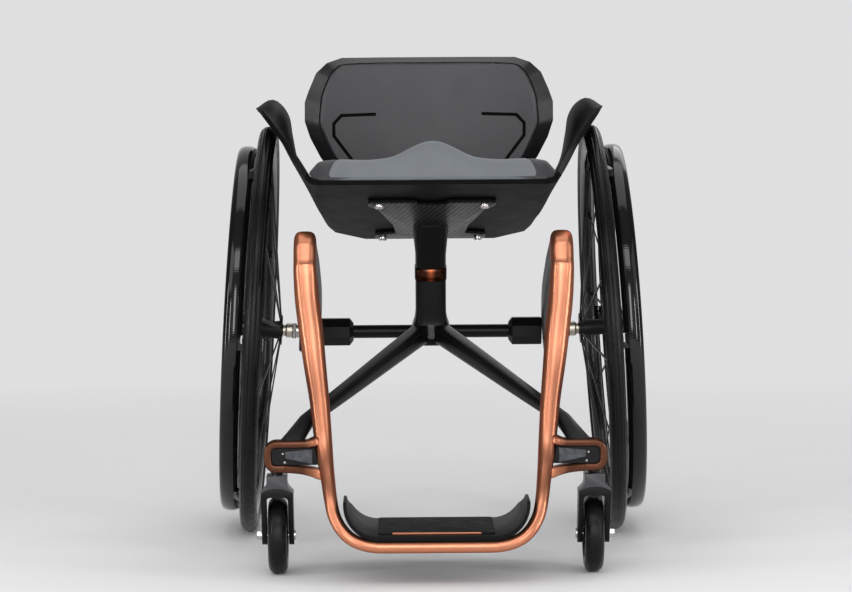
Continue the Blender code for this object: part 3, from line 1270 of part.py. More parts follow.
def sheet(rows, thicknesses):
    """Closed shell: a grid of points, and its copy set in by each column's thickness."""
    height, width = len(rows), len(rows[0])
    inner = []
    for r in range(height):
        for c in range(width):
            along = rows[min(r + 1, height - 1)][c] - rows[max(r - 1, 0)][c]
            across = rows[r][min(c + 1, width - 1)] - rows[r][max(c - 1, 0)]
            inner.append(rows[r][c] + across.cross(along).normalized() * thicknesses[c])
    points = [point for row in rows for point in row] + inner
    offset = height * width
    faces = []
    for r in range(height - 1):
        for c in range(width - 1):
            corners = (r * width + c, r * width + c + 1, (r + 1) * width + c + 1, (r + 1) * width + c)
            faces.append(corners)
            faces.append(tuple(i + offset for i in reversed(corners)))
    edge = list(range(width)) + [r * width + width - 1 for r in range(1, height)]
    edge += [(height - 1) * width + c for c in range(width - 2, -1, -1)]
    edge += [r * width for r in range(height - 2, 0, -1)]
    for a, b in zip(edge, edge[1:] + edge[:1]):
        faces.append((a, b, b + offset, a + offset))
    return mesh_of(points, faces)


def full_rows(rows):
    """Rows across both sides from rows of the left half."""
    return [[Vector((-p.x, p.y, p.z)) for p in reversed(row[1:])] + row for row in rows]


def make_seat_shell():
    """Bucket: the pan, and a side wall that rises to a guard over each rear wheel."""
    rows = full_rows(shell_rows())
    wall_columns = (len(rows[0]) - 5) // 2
    thicknesses = [WALL_THICKNESS] * wall_columns + [PAN_THICKNESS] * 5 + [WALL_THICKNESS] * wall_columns
    return sheet(rows, thicknesses)


def seat_matrix():
    """Places a shape drawn in the pan's plane: Y runs back from its front edge, Z up from its underside."""
    return Matrix.Translation((0, SEAT_FRONT_Y, SEAT_FRONT_Z)) @ Matrix.Rotation(-SEAT_SLOPE, 4, "X")


def make_mount_plate():
    """Tapered plate under the pan, with a round notch in front and holes for the bolts."""
    half = [(0.0, PLATE_OUTLINE[0][1])] + list(PLATE_OUTLINE) + [(0.0, PLATE_OUTLINE[-1][1])]
    outline = half + [(-x, y) for x, y in reversed(half[1:-1])]
    plate = prism(outline, -PLATE_THICKNESS - CLEARANCE, -CLEARANCE, "Z")
    through = 2 * PLATE_THICKNESS
    notch = upright([(-through, PLATE_NOTCH_RADIUS), (through, PLATE_NOTCH_RADIUS)], 20)
    plate = subtract(plate, moved(notch, Matrix.Translation((0, PLATE_OUTLINE[0][1], 0))))
    hole = bore_radius(SEAT_BOLT_RADIUS, 8, CLEARANCE)
    for end, x in SEAT_BOLT_X.items():
        for side in SIDES.values():
            drill = upright([(-through, hole), (SEAT_BOLT_GRIP - PLATE_THICKNESS, hole)], 8, math.pi / 8)
            plate = subtract(plate, moved(drill, Matrix.Translation((side * x, SEAT_BOLT_DISTANCE[end], 0))))
    return plate


def make_seat_bolt():
    """Bolt head up under the plate, with its shank in the plate's hole."""
    face = -PLATE_THICKNESS - 2 * CLEARANCE
    head, bevel = face - SEAT_BOLT_HEAD_HEIGHT, 0.001
    profile = [(head, SEAT_BOLT_HEAD_RADIUS - bevel), (head + bevel, SEAT_BOLT_HEAD_RADIUS),
               (face, SEAT_BOLT_HEAD_RADIUS), (face, SEAT_BOLT_RADIUS),
               (face + SEAT_BOLT_GRIP, SEAT_BOLT_RADIUS)]
    return upright(profile, 8, math.pi / 8)


def make_seat_post(height):
    """Upper post: a spigot in the post's foot, and a head that spreads out under the plate."""
    lean = Matrix.Translation((0, 0, height)) @ Matrix.Rotation(POST_LEAN, 4, "X")
    seat_plane = seat_matrix()
    normal = seat_plane.to_3x3() @ Vector((0, 0, 1))
    origin = seat_plane @ Vector((0, 0, -PLATE_THICKNESS - 2 * CLEARANCE))
    axis = lean.to_3x3() @ Vector((0, 0, 1))

    def on_plate(point):
        """The place where a line along the post meets the plate's underside."""
        place = lean @ Vector(point)
        return place + axis * ((origin - place).dot(normal) / axis.dot(normal))

    shoulder = POST_JOINT + 2 * CLEARANCE + COLLAR_HEIGHT
    spigot, post = (SPIGOT_WIDTH, SPIGOT_DEPTH), (POST_WIDTH, POST_DEPTH)
    rings = [section_ring(*spigot, SPIGOT_FOOT), section_ring(*spigot, shoulder),
             section_ring(*post, shoulder), section_ring(*post, shoulder + POST_SHOULDER)]
    rings = [[lean @ Vector(point) for point in ring] for ring in rings]
    head = section_ring(POST_HEAD_WIDTH, POST_HEAD_DEPTH, 0, POST_HEAD_SHIFT)
    rim = [on_plate(point) for point in head]
    rings.append([point - axis * POST_HEAD_EDGE for point in rim])
    rings.append(rim)
    return loft(rings)


def bump(x, half_width):
    """Smooth bell from 1 at the middle to 0 at its half width."""
    return 0.5 * (1 + math.cos(math.pi * x / half_width)) if abs(x) < half_width else 0.0


def shell_station_at(y):
    """Flat row of the shell nearest to a distance along the chair."""
    return min(smooth(shell_stations(), 8), key=lambda row: abs(row[0] - y))


def pan_half_width(y):
    """Half width of the pan at a distance along the chair."""
    return shell_station_at(y)[1]


def inner_wall(y, height):
    """Half width inside the shell at a distance along the chair and a height above the pan's underside."""
    row = shell_station_at(y)
    wall = smooth(list(zip(row[1::2], row[2::2])), 8)
    level = pan_height(y) + height
    return min(wall, key=lambda place: abs(place[1] - level))[0] - WALL_THICKNESS


def cushion_row(share):
    """One ring across the cushion at a share of its length."""
    y = CUSHION_FRONT_Y + share * (CUSHION_REAR_Y - CUSHION_FRONT_Y)
    front = min(1.0, (y - CUSHION_FRONT_Y) / CUSHION_FRONT_ROUND)
    rear = min(1.0, (CUSHION_REAR_Y - y) / CUSHION_REAR_ROUND)
    swell = (1 - (1 - front) ** 2) * (1 - (1 - rear) ** 2) ** 0.5
    base = pan_height(y) + PAN_THICKNESS / math.cos(SEAT_SLOPE) + CLEARANCE
    corner = base + pan_edge_height(y) - pan_height(y)
    edge_height = CUSHION_FRONT_EDGE + (CUSHION_REAR_EDGE - CUSHION_FRONT_EDGE) * share
    height = edge_height + (CUSHION_HEIGHT - edge_height) * swell
    half = pan_half_width(y)
    foot = half - CUSHION_FOOT_GAP
    wall = inner_wall(y, PAN_THICKNESS + height * 0.5) - CUSHION_WALL_GAP
    waist = min(wall, foot + CUSHION_SIDE_LEAN) - CUSHION_SIDE_PULL * math.sin(math.pi * share)
    edge = waist - CUSHION_SHOULDER - CUSHION_END_SHOULDER * (1 - swell)
    ridge = POMMEL_HEIGHT * swell * max(0.0, 1 - (y - CUSHION_FRONT_Y) / POMMEL_LENGTH) ** 0.6
    ring = [(0.0, y, base), (half * PAN_FLAT_SHARE, y, base), (foot, y, corner)]
    ring.append((waist, y, base + height * 0.6))
    for k in range(CUSHION_TOP_STEPS + 1):
        x = edge * (1 - k / CUSHION_TOP_STEPS)
        crown = CUSHION_CROWN * swell * (1 - (x / edge) ** 2)
        trough = THIGH_TROUGH * swell * bump(abs(x) - THIGH_MIDDLE, THIGH_HALF_WIDTH)
        top = base + height * (1 - CUSHION_EDGE_DROP * (k == 0))
        ring.append((x, y, top + crown - trough + ridge * bump(x, POMMEL_HALF_WIDTH)))
    return ring + [(-x, y, z) for x, y, z in reversed(ring[1:-1])]


def make_cushion():
    """Crowned cushion that fills the bucket, with a middle ridge in front and a trough for each thigh."""
    shares = [(1 - math.cos(math.pi * i / (CUSHION_ROWS - 1))) / 2 for i in range(CUSHION_ROWS)]
    return loft([cushion_row(share) for share in shares])


# Back

def back_surface(x, z):
    """Y of the pad's front at a place in front view."""
    return BACK_Y - BACK_WRAP * (x / BACK_HALF_WIDTH) ** 2 + math.tan(BACK_LEAN) * (z - HINGE_Z)


def back_outline(half):
    """Full outline from one half, widened or narrowed to the back's width."""
    widest = max(x for x, z in BACK_OUTER)
    return mirrored([(x * BACK_HALF_WIDTH / widest, z) for x, z in half])


def back_ring(outline, share, depth):
    """Ring at a share of an outline, set behind the pad's front by a depth."""
    ring = []
    for x, z in outline:
        u, w = x * share, BACK_CENTRE_Z + (z - BACK_CENTRE_Z) * share
        ring.append((u, back_surface(u, w) + depth, w))
    return ring


def domed(rings, front, rear):
    """Closed shape from rings that go round its edge, closed to a point in front and behind."""
    count = len(rings[0])
    points = [point for ring in rings for point in ring] + [front, rear]
    faces = []
    for row in range(len(rings) - 1):
        for i in range(count):
            j = (i + 1) % count
            faces.append((row * count + i, row * count + j, (row + 1) * count + j, (row + 1) * count + i))
    last = (len(rings) - 1) * count
    for i in range(count):
        j = (i + 1) % count
        faces.append((len(points) - 2, j, i))
        faces.append((len(points) - 1, last + i, last + j))
    return mesh_of(points, faces)


def back_lug(side):
    """Arm on the rear of the back's shell that reaches down round the hinge pin."""
    high = BRACKET_X - RUNNING_GAP
    low = high - LUG_WIDTH
    bite = BACK_RECESS + LUG_BITE_SHARE * BACK_SHELL_THICKNESS
    top, neck = (back_surface(low, z) + bite for z in (LUG_TOP_Z, LUG_NECK_Z))
    outline = arc((HINGE_Y, HINGE_Z), HINGE_EAR_RADIUS, -200, 20, 8)
    outline += [(HINGE_Y + 0.4 * HINGE_EAR_RADIUS, LUG_REAR_Z), (top + 0.4 * HINGE_EAR_RADIUS, LUG_TOP_Z),
                (top, LUG_TOP_Z), (neck, LUG_NECK_Z)]
    return prism(outline, *sorted((side * low, side * high)), "X")


def make_back_shell():
    """Shell with a bevelled rim round the seat of the pad, and two lugs on the hinge's axis."""
    outer, inner = back_outline(BACK_OUTER), back_outline(BACK_INNER)
    floor, rear = BACK_RECESS, BACK_RECESS + BACK_SHELL_THICKNESS
    rings = [back_ring(inner, share, floor) for share in reversed(BACK_RINGS)]
    rings += [back_ring(inner, 1.0, floor), back_ring(inner, 1.0, 0.0), back_ring(outer, 1.0, BACK_LIP_SET),
              back_ring(outer, BACK_ROLL_SHARE, BACK_LIP_SET + BACK_EDGE_ROLL),
              back_ring(inner, BACK_REAR_SHARE, rear)]
    rings += [back_ring(inner, share, rear) for share in BACK_RINGS]
    middle = back_surface(0, BACK_CENTRE_Z)
    shell = domed(rings, (0, middle + floor, BACK_CENTRE_Z), (0, middle + rear, BACK_CENTRE_Z))
    for side in SIDES.values():
        shell = union(shell, back_lug(side))
    return subtract(shell, hinge_drill(RUNNING_GAP))


def hinge_drill(gap):
    """Cutter for a hole round the hinge pin, right across the back."""
    bore, reach = bore_radius(HINGE_PIN_RADIUS, 12, gap), 2 * BRACKET_X
    pin_axis = Matrix.Translation((0, HINGE_Y, HINGE_Z))
    return moved(spindle([(-reach, bore), (reach, bore)], 12, math.pi / 12), pin_axis)


def make_back_pad():
    """Thin pad in the shell's seat."""
    inner = back_outline(BACK_INNER)
    rear = BACK_RECESS - CLEARANCE
    rings = [back_ring(inner, share, -PAD_PROUD) for share in reversed(BACK_RINGS)]
    rings += [back_ring(inner, PAD_FACE_SHARE, -PAD_PROUD), back_ring(inner, PAD_FIT, PAD_EDGE_SET),
              back_ring(inner, PAD_FIT, rear)]
    rings += [back_ring(inner, share, rear) for share in BACK_RINGS]
    middle = back_surface(0, BACK_CENTRE_Z)
    return domed(rings, (0, middle - PAD_PROUD, BACK_CENTRE_Z), (0, middle + rear, BACK_CENTRE_Z))


def make_back_bracket(side):
    """Bracket that stands on the pan behind the cushion, with an ear outside the shell's lug."""
    def on_pan(y):
        """Height of the pan's upper side behind the cushion."""
        return pan_height(y) + PAN_THICKNESS / math.cos(SEAT_SLOPE) + CLEARANCE

    front, rear = BRACKET_FOOT_Y, SHELL_STATIONS[-1][0] + BRACKET_EDGE_GAP
    outline = [(front, on_pan(front)), (rear, on_pan(rear))]
    outline += arc((HINGE_Y, HINGE_Z), HINGE_EAR_RADIUS, -60, 150, 8)
    outline += [(rear - 0.6 * BRACKET_THICKNESS, on_pan(rear) + 1.9 * BRACKET_THICKNESS),
                (front, on_pan(front) + BRACKET_THICKNESS)]
    bracket = prism(outline, *sorted((side * BRACKET_X, side * (BRACKET_X + BRACKET_WIDTH))), "X")
    return subtract(bracket, hinge_drill(CLEARANCE))


def make_hinge_pin():
    """Long pin through both brackets, with a head at each end."""
    face = BRACKET_X + BRACKET_WIDTH + CLEARANCE
    end = face + HINGE_HEAD_THICKNESS
    half = [(face, HINGE_PIN_RADIUS), (face, HINGE_HEAD_RADIUS), (end, HINGE_HEAD_RADIUS)]
    return spindle([(-x, radius) for x, radius in reversed(half)] + half, 12, math.pi / 12)


# The chair

def build_wheel(side, name, chair, looks, axle_height):
    """Wheel pieces, round an empty on the leaning axle."""
    turn = math.pi if side < 0 else 0.0
    axis = empty("wheel_axis_" + name, chair, (side * WHEEL_HALF_TRACK, 0, axle_height), (0, -CAMBER, turn))
    place("tyre_" + name, make_tyre(), looks["tyre_rubber"], axis)
    place("rim_" + name, make_rim(), looks["gloss_carbon"], axis)
    place("handrim_" + name, make_handrim(), looks["gloss_carbon"], axis)
    place("wheel_hub_" + name, make_wheel_hub(), looks["satin_black"], axis)
    place("quick_release_axle_" + name, make_quick_release_axle(), looks["polished_steel"], axis)
    button_x = HUB_HALF_LENGTH + CLEARANCE + AXLE_CAP_LENGTH + BUTTON_PROUD
    place("release_button_" + name, make_button(), looks["light_alloy"], axis, (button_x, 0, 0))
    place("axle_cone_" + name, make_axle_cone(), looks["light_alloy"], axis)
    place("axle_receiver_" + name, make_axle_receiver(), looks["polished_steel"], axis)


def build_caster(side, name, chair, looks):
    """Caster pieces, round an empty on the stem's axis and one on the wheel's axle."""
    swivel = empty("caster_swivel_" + name, chair, (side * CASTER_HALF_TRACK, CASTER_STEM_Y, 0))
    axle = empty("caster_axis_" + name, swivel, (0, CASTER_TRAIL, caster_axle_height()))
    place("caster_fork_" + name, make_caster_fork(), looks["satin_black"], swivel)
    place("caster_crown_" + name, make_caster_crown(), looks["grey_crown"], swivel)
    place("caster_stem_" + name, make_caster_stem(), looks["polished_steel"], swivel)
    place("stem_bearing_" + name, make_stem_bearing(), looks["polished_steel"], swivel)
    place("caster_axle_" + name, make_caster_axle(side), looks["polished_steel"], axle)
    place("caster_hub_" + name, make_caster_hub(), looks["satin_black"], axle)
    place("caster_tyre_" + name, make_caster_tyre(), looks["tyre_rubber"], axle)


def build_chassis(chair, looks, axle_height):
    """Everything that is fixed to the front frame."""
    height = tube_height(axle_height)
    place("front_frame", make_front_frame(), looks["copper_paint"], chair)
    place("base_frame", make_base_frame(height), looks["satin_black"], chair)
    place("hub_insert", block(*insert_box(height)), looks["grey_lens"], chair)
    post = empty("post_axis", chair, (0, 0, height), (POST_LEAN, 0, 0))
    place("post_collar", make_collar(), looks["copper_paint"], post)
    place("axle_tube", make_axle_tube(), looks["satin_black"], chair, (0, 0, height))
    place("footplate", make_footplate(), looks["satin_black"], chair)
    place("footplate_grip", make_footplate_grip(), looks["grip_rubber"], chair)
    place("footplate_trim", make_footplate_trim(), looks["copper_paint"], chair)
    for name, side in SIDES.items():
        place("side_arm_" + name, make_side_arm(side, axle_height), looks["satin_black"], chair)
        place("axle_clamp_" + name, make_axle_clamp(side), looks["satin_black"], chair, (0, 0, height))
        place("caster_housing_" + name, make_caster_housing(side), looks["satin_black"], chair)
        place("side_lens_" + name, make_side_lens(side), looks["grey_lens"], chair)
    return height


def build_seat(chair, looks, height):
    """Seat post and all that it carries below the back."""
    place("seat_post", make_seat_post(height), looks["satin_black"], chair)
    place("seat_shell", make_seat_shell(), looks["seat_plastic"], chair)
    place("cushion", make_cushion(), looks["cushion_cover"], chair)
    pan = empty("pan_plane", chair, (0, SEAT_FRONT_Y, SEAT_FRONT_Z), (-SEAT_SLOPE, 0, 0))
    place("mount_plate", make_mount_plate(), looks["carbon_twill"], pan)
    for name, side in SIDES.items():
        for end, x in SEAT_BOLT_X.items():
            spot = (side * x, SEAT_BOLT_DISTANCE[end], 0)
            place("seat_bolt_" + end + "_" + name, make_seat_bolt(), looks["polished_steel"], pan, spot)
        place("back_bracket_" + name, make_back_bracket(side), looks["satin_black"], chair)
    hinge = empty("back_hinge_axis", chair, (0, HINGE_Y, HINGE_Z))
    place("back_hinge_pin", make_hinge_pin(), looks["polished_steel"], hinge)
    to_hinge = Matrix.Translation((0, -HINGE_Y, -HINGE_Z))
    place("back_shell", moved(make_back_shell(), to_hinge), looks["seat_plastic"], hinge)
    place("back_pad", moved(make_back_pad(), to_hinge), looks["back_cover"], hinge)


def build_chair():
    """All the pieces, each in its place."""
    clear_scene()
    looks = make_materials()
    chair = empty("chair_frame", None, (0, AXLE_Y, 0))
    axle_height = wheel_centre_height()
    for name, side in SIDES.items():
        build_wheel(side, name, chair, looks, axle_height)
        build_caster(side, name, chair, looks)
    height = build_chassis(chair, looks, axle_height)
    build_seat(chair, looks, height)
    bpy.context.view_layer.update()


build_chair()
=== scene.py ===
import json
import math

import bmesh
import bpy
from mathutils import Matrix, Vector

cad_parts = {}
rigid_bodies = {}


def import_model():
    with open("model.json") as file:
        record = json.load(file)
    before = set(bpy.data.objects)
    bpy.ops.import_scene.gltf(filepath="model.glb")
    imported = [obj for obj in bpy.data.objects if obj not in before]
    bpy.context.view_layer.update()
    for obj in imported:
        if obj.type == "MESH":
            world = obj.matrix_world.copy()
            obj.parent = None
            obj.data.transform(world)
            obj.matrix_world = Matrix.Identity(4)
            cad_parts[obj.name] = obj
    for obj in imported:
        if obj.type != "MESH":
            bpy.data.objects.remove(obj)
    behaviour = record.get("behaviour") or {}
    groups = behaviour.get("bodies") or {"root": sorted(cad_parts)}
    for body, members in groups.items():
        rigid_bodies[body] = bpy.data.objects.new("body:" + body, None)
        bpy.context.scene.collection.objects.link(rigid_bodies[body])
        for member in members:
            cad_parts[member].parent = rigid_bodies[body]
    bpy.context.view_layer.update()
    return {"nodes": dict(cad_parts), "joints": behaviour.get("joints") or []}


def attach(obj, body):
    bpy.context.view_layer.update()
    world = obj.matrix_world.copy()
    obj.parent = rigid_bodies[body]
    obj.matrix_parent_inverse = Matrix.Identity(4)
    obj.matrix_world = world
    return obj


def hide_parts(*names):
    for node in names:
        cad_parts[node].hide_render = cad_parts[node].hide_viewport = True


for item in list(bpy.data.objects):
    bpy.data.objects.remove(item, do_unlink=True)
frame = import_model()

SIDES = {"left": 1, "right": -1}
GAP = 0.0003                # between pieces that touch
AXLE_Y = 0.1353             # shapes are drawn from the rear axle, and CHAIR places them in the frame
CHAIR = Matrix.Translation((0, AXLE_Y, 0))
TUBE_SIDES = 40
CUT_PAST = 0.01             # how far a cutter reaches past what it cuts


# Shapes

def circle(radius, segments):
    """Points of a circle, as pairs."""
    step = 2 * math.pi / segments
    return [(radius * math.cos(step * i), radius * math.sin(step * i)) for i in range(segments)]


def polygon(radius, corners, count):
    """Points along a regular polygon, as pairs; the radius is a corner's."""
    half = math.pi / corners
    pairs = []
    for i in range(count):
        angle = 2 * math.pi * i / count
        reach = radius * math.cos(half) / math.cos(angle % (2 * half) - half)
        pairs.append((reach * math.cos(angle), reach * math.sin(angle)))
    return pairs


def arc(centre, radius, start, end, steps):
    """Points of an arc from one angle to another, in degrees."""
    angles = [math.radians(start + (end - start) * i / steps) for i in range(steps + 1)]
    return [(centre[0] + radius * math.cos(a), centre[1] + radius * math.sin(a)) for a in angles]


def oval(width, depth, squareness=2.8, sides=TUBE_SIDES):
    """Points of a superellipse, as pairs; 2 is an ellipse and more is squarer."""
    points = []
    for i in range(sides):
        angle = 2 * math.pi * (i + 0.5) / sides
        c, s = math.cos(angle), math.sin(angle)
        points.append((math.copysign(abs(c) ** (2 / squareness), c) * width / 2,
                       math.copysign(abs(s) ** (2 / squareness), s) * depth / 2))
    return points


def rounded(width, depth, corner=0.0026, steps=4):
    """Points of a rectangle with rounded corners, as pairs."""
    pairs = []
    for turn, (u, v) in zip((0, 90, 180, 270), ((1, 1), (-1, 1), (-1, -1), (1, -1))):
        centre = (u * (width / 2 - corner), v * (depth / 2 - corner))
        pairs += arc(centre, corner, turn, turn + 90, steps)
    return pairs


def mirrored_outline(half):
    """Full outline from one half, whose two ends lie on the middle plane."""
    return list(half) + [(-x, y) for x, y in reversed(half[1:-1])]


def smooth(stations, steps):
    """Catmull-Rom values through rows of numbers, with steps between two rows."""
    rows = [list(row) for row in stations]
    first = [2 * a - b for a, b in zip(rows[0], rows[1])]
    last = [2 * a - b for a, b in zip(rows[-1], rows[-2])]
    padded = [first] + rows + [last]
    result = []
    for p0, p1, p2, p3 in zip(padded, padded[1:], padded[2:], padded[3:]):
        for i in range(steps):
            t = i / steps
            result.append([
                0.5 * (2 * b + (c - a) * t + (2 * a - 5 * b + 4 * c - d) * t * t + (3 * b - a - 3 * c + d) * t ** 3)
                for a, b, c, d in zip(p0, p1, p2, p3)
            ])
    result.append(rows[-1])
    return result


def mesh_of(points, faces):
    """A mesh whose faces point out."""
    shape = bmesh.new()
    corners = [shape.verts.new(point) for point in points]
    for face in faces:
        shape.faces.new([corners[i] for i in face])
    bmesh.ops.recalc_face_normals(shape, faces=shape.faces)
    mesh = bpy.data.meshes.new("shape")
    shape.to_mesh(mesh)
    shape.free()
    return mesh


def band(low, high, count):
    """Faces between two rings of as many points, from the indices of their first points."""
    return [(low + i, low + (i + 1) % count, high + (i + 1) % count, high + i) for i in range(count)]


def loft(rings, closed=False):
    """Skin through rings of points; a closed loft joins the last ring to the first."""
    count = len(rings[0])
    points = [point for ring in rings for point in ring]
    faces = []
    for row in range(len(rings) if closed else len(rings) - 1):
        faces += band(row * count, ((row + 1) % len(rings)) * count, count)
    if not closed:
        faces.append(tuple(range(count)))
        faces.append(tuple(range(len(points) - count, len(points))))
    return mesh_of(points, faces)


def between_grids(front, rear):
    """Closed solid between two grids of points with as many rows and columns."""
    height, width = len(front), len(front[0])
    behind = height * width
    faces = [(r * width + c, r * width + c + 1, (r + 1) * width + c + 1, (r + 1) * width + c)
             for r in range(height - 1) for c in range(width - 1)]
    faces += [tuple(behind + i for i in reversed(face)) for face in faces]
    edge = list(range(width)) + [r * width + width - 1 for r in range(1, height)]
    edge += [(height - 1) * width + c for c in range(width - 2, -1, -1)]
    edge += [r * width for r in range(height - 2, 0, -1)]
    faces += [(a, b, b + behind, a + behind) for a, b in zip(edge, edge[1:] + edge[:1])]
    return mesh_of([point for grid in (front, rear) for row in grid for point in row], faces)


def ring_round(axis, level, radius, segments, corners=0):
    """Points round the X or Z axis at a level: a circle, or a polygon if it has corners."""
    pairs = polygon(radius, corners, segments) if corners else circle(radius, segments)
    return [(level, u, v) if axis == "X" else (u, v, level) for u, v in pairs]


def both_ways(half):
    """A profile of X and radius with its mirror image across X."""
    return half + [(-x, radius) for x, radius in reversed(half)]


def turned(profile, segments=96):
    """Ring round X from a closed profile of X and radius."""
    return loft([ring_round("X", x, radius, segments) for x, radius in profile], closed=True)


def spindle(profile, segments=48):
    """Solid of revolution round X, capped at both ends."""
    return loft([ring_round("X", x, radius, segments) for x, radius in profile])


def drill(start, end, radius):
    """Cutter for a round hole along X."""
    return spindle([(start, radius), (end, radius)])


def upright(profile, segments=48):
    """Solid of revolution round Z from Z and radius pairs."""
    return loft([ring_round("Z", z, radius, segments) for z, radius in profile])


def prism(outline, low, high, axis):
    """Outline pulled along an axis: its pairs are the two other axes in X, Y, Z order."""
    def place(pair, along):
        values = list(pair)
        values.insert("XYZ".index(axis), along)
        return tuple(values)
    return loft([[place(pair, low) for pair in outline], [place(pair, high) for pair in outline]])


def moved(mesh, matrix):
    """The mesh after a transform."""
    mesh.transform(matrix)
    if matrix.determinant() < 0:
        mesh.flip_normals()
    return mesh


def in_scene(name, data):
    """A new object, linked to the scene."""
    item = bpy.data.objects.new(name, data)
    bpy.context.collection.objects.link(item)
    return item


def evaluated(item):
    """Mesh of an object after its modifiers."""
    bpy.context.view_layer.update()
    graph = bpy.context.evaluated_depsgraph_get()
    return bpy.data.meshes.new_from_object(item.evaluated_get(graph))


def boolean(operation, first, second):
    """Mesh of a Boolean between two meshes."""
    items = [in_scene("operand", mesh) for mesh in (first, second)]
    modifier = items[0].modifiers.new("cut", "BOOLEAN")
    modifier.operation = operation
    modifier.solver = "EXACT"
    modifier.object = items[1]
    result = evaluated(items[0])
    for item in items:
        bpy.data.objects.remove(item, do_unlink=True)
    return result


def union(first, *others):
    for other in others:
        first = boolean("UNION", first, other)
    return first


def subtract(first, *others):
    for other in others:
        first = boolean("DIFFERENCE", first, other)
    return first


def joined(meshes):
    """Several separate shapes in one mesh."""
    shape = bmesh.new()
    for mesh in meshes:
        shape.from_mesh(mesh)
    result = bpy.data.meshes.new("shapes")
    shape.to_mesh(result)
    shape.free()
    return result


def add_bevel(item, width, segments=3, angle=35):
    """Rounds an object's sharp edges with a modifier."""
    modifier = item.modifiers.new("bevel", "BEVEL")
    modifier.width = width
    modifier.segments = segments
    modifier.limit_method = "ANGLE"
    modifier.angle_limit = math.radians(angle)
    modifier.use_clamp_overlap = True


def bevelled(mesh, width, segments=3, angle=35):
    """The mesh with its sharp edges rounded."""
    item = in_scene("bevelled", mesh)
    add_bevel(item, width, segments, angle)
    result = evaluated(item)
    bpy.data.objects.remove(item, do_unlink=True)
    return result


def swept(stations, facing, section=oval):
    """Rings through stations of X, Y, Z and a section's sizes; its depth lies as near to facing as it can."""
    points = [Vector(row[:3]) for row in stations]
    rings = []
    for i, row in enumerate(stations):
        ahead = (points[min(i + 1, len(points) - 1)] - points[max(i - 1, 0)]).normalized()
        depth_axis = (Vector(facing) - ahead * ahead.dot(Vector(facing))).normalized()
        width_axis = ahead.cross(depth_axis)
        rings.append([points[i] + width_axis * u + depth_axis * v for u, v in section(*row[3:])])
    return rings


def mirrored_rings(rings, side):
    """Rings drawn for the left side, placed on a side."""
    return [[(side * x, y, z) for x, y, z in ring] for ring in rings]


def piece(name, mesh, look, body, stands_for=(), matrix=CHAIR, angle=35, levels=0):
    """Puts a finished mesh in the scene: material, shading, the body it rides on and the nodes it stands for."""
    mesh.name = name
    mesh.materials.append(looks[look])
    item = in_scene(name, mesh)
    item.matrix_world = matrix
    mesh.shade_smooth()
    mesh.set_sharp_from_angle(angle=math.radians(angle))
    if levels:
        subdivision = item.modifiers.new("rounding", "SUBSURF")
        subdivision.levels = subdivision.render_levels = levels
    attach(item, body)
    if stands_for:
        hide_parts(*([stands_for] if isinstance(stands_for, str) else stands_for))
    return item


# Materials


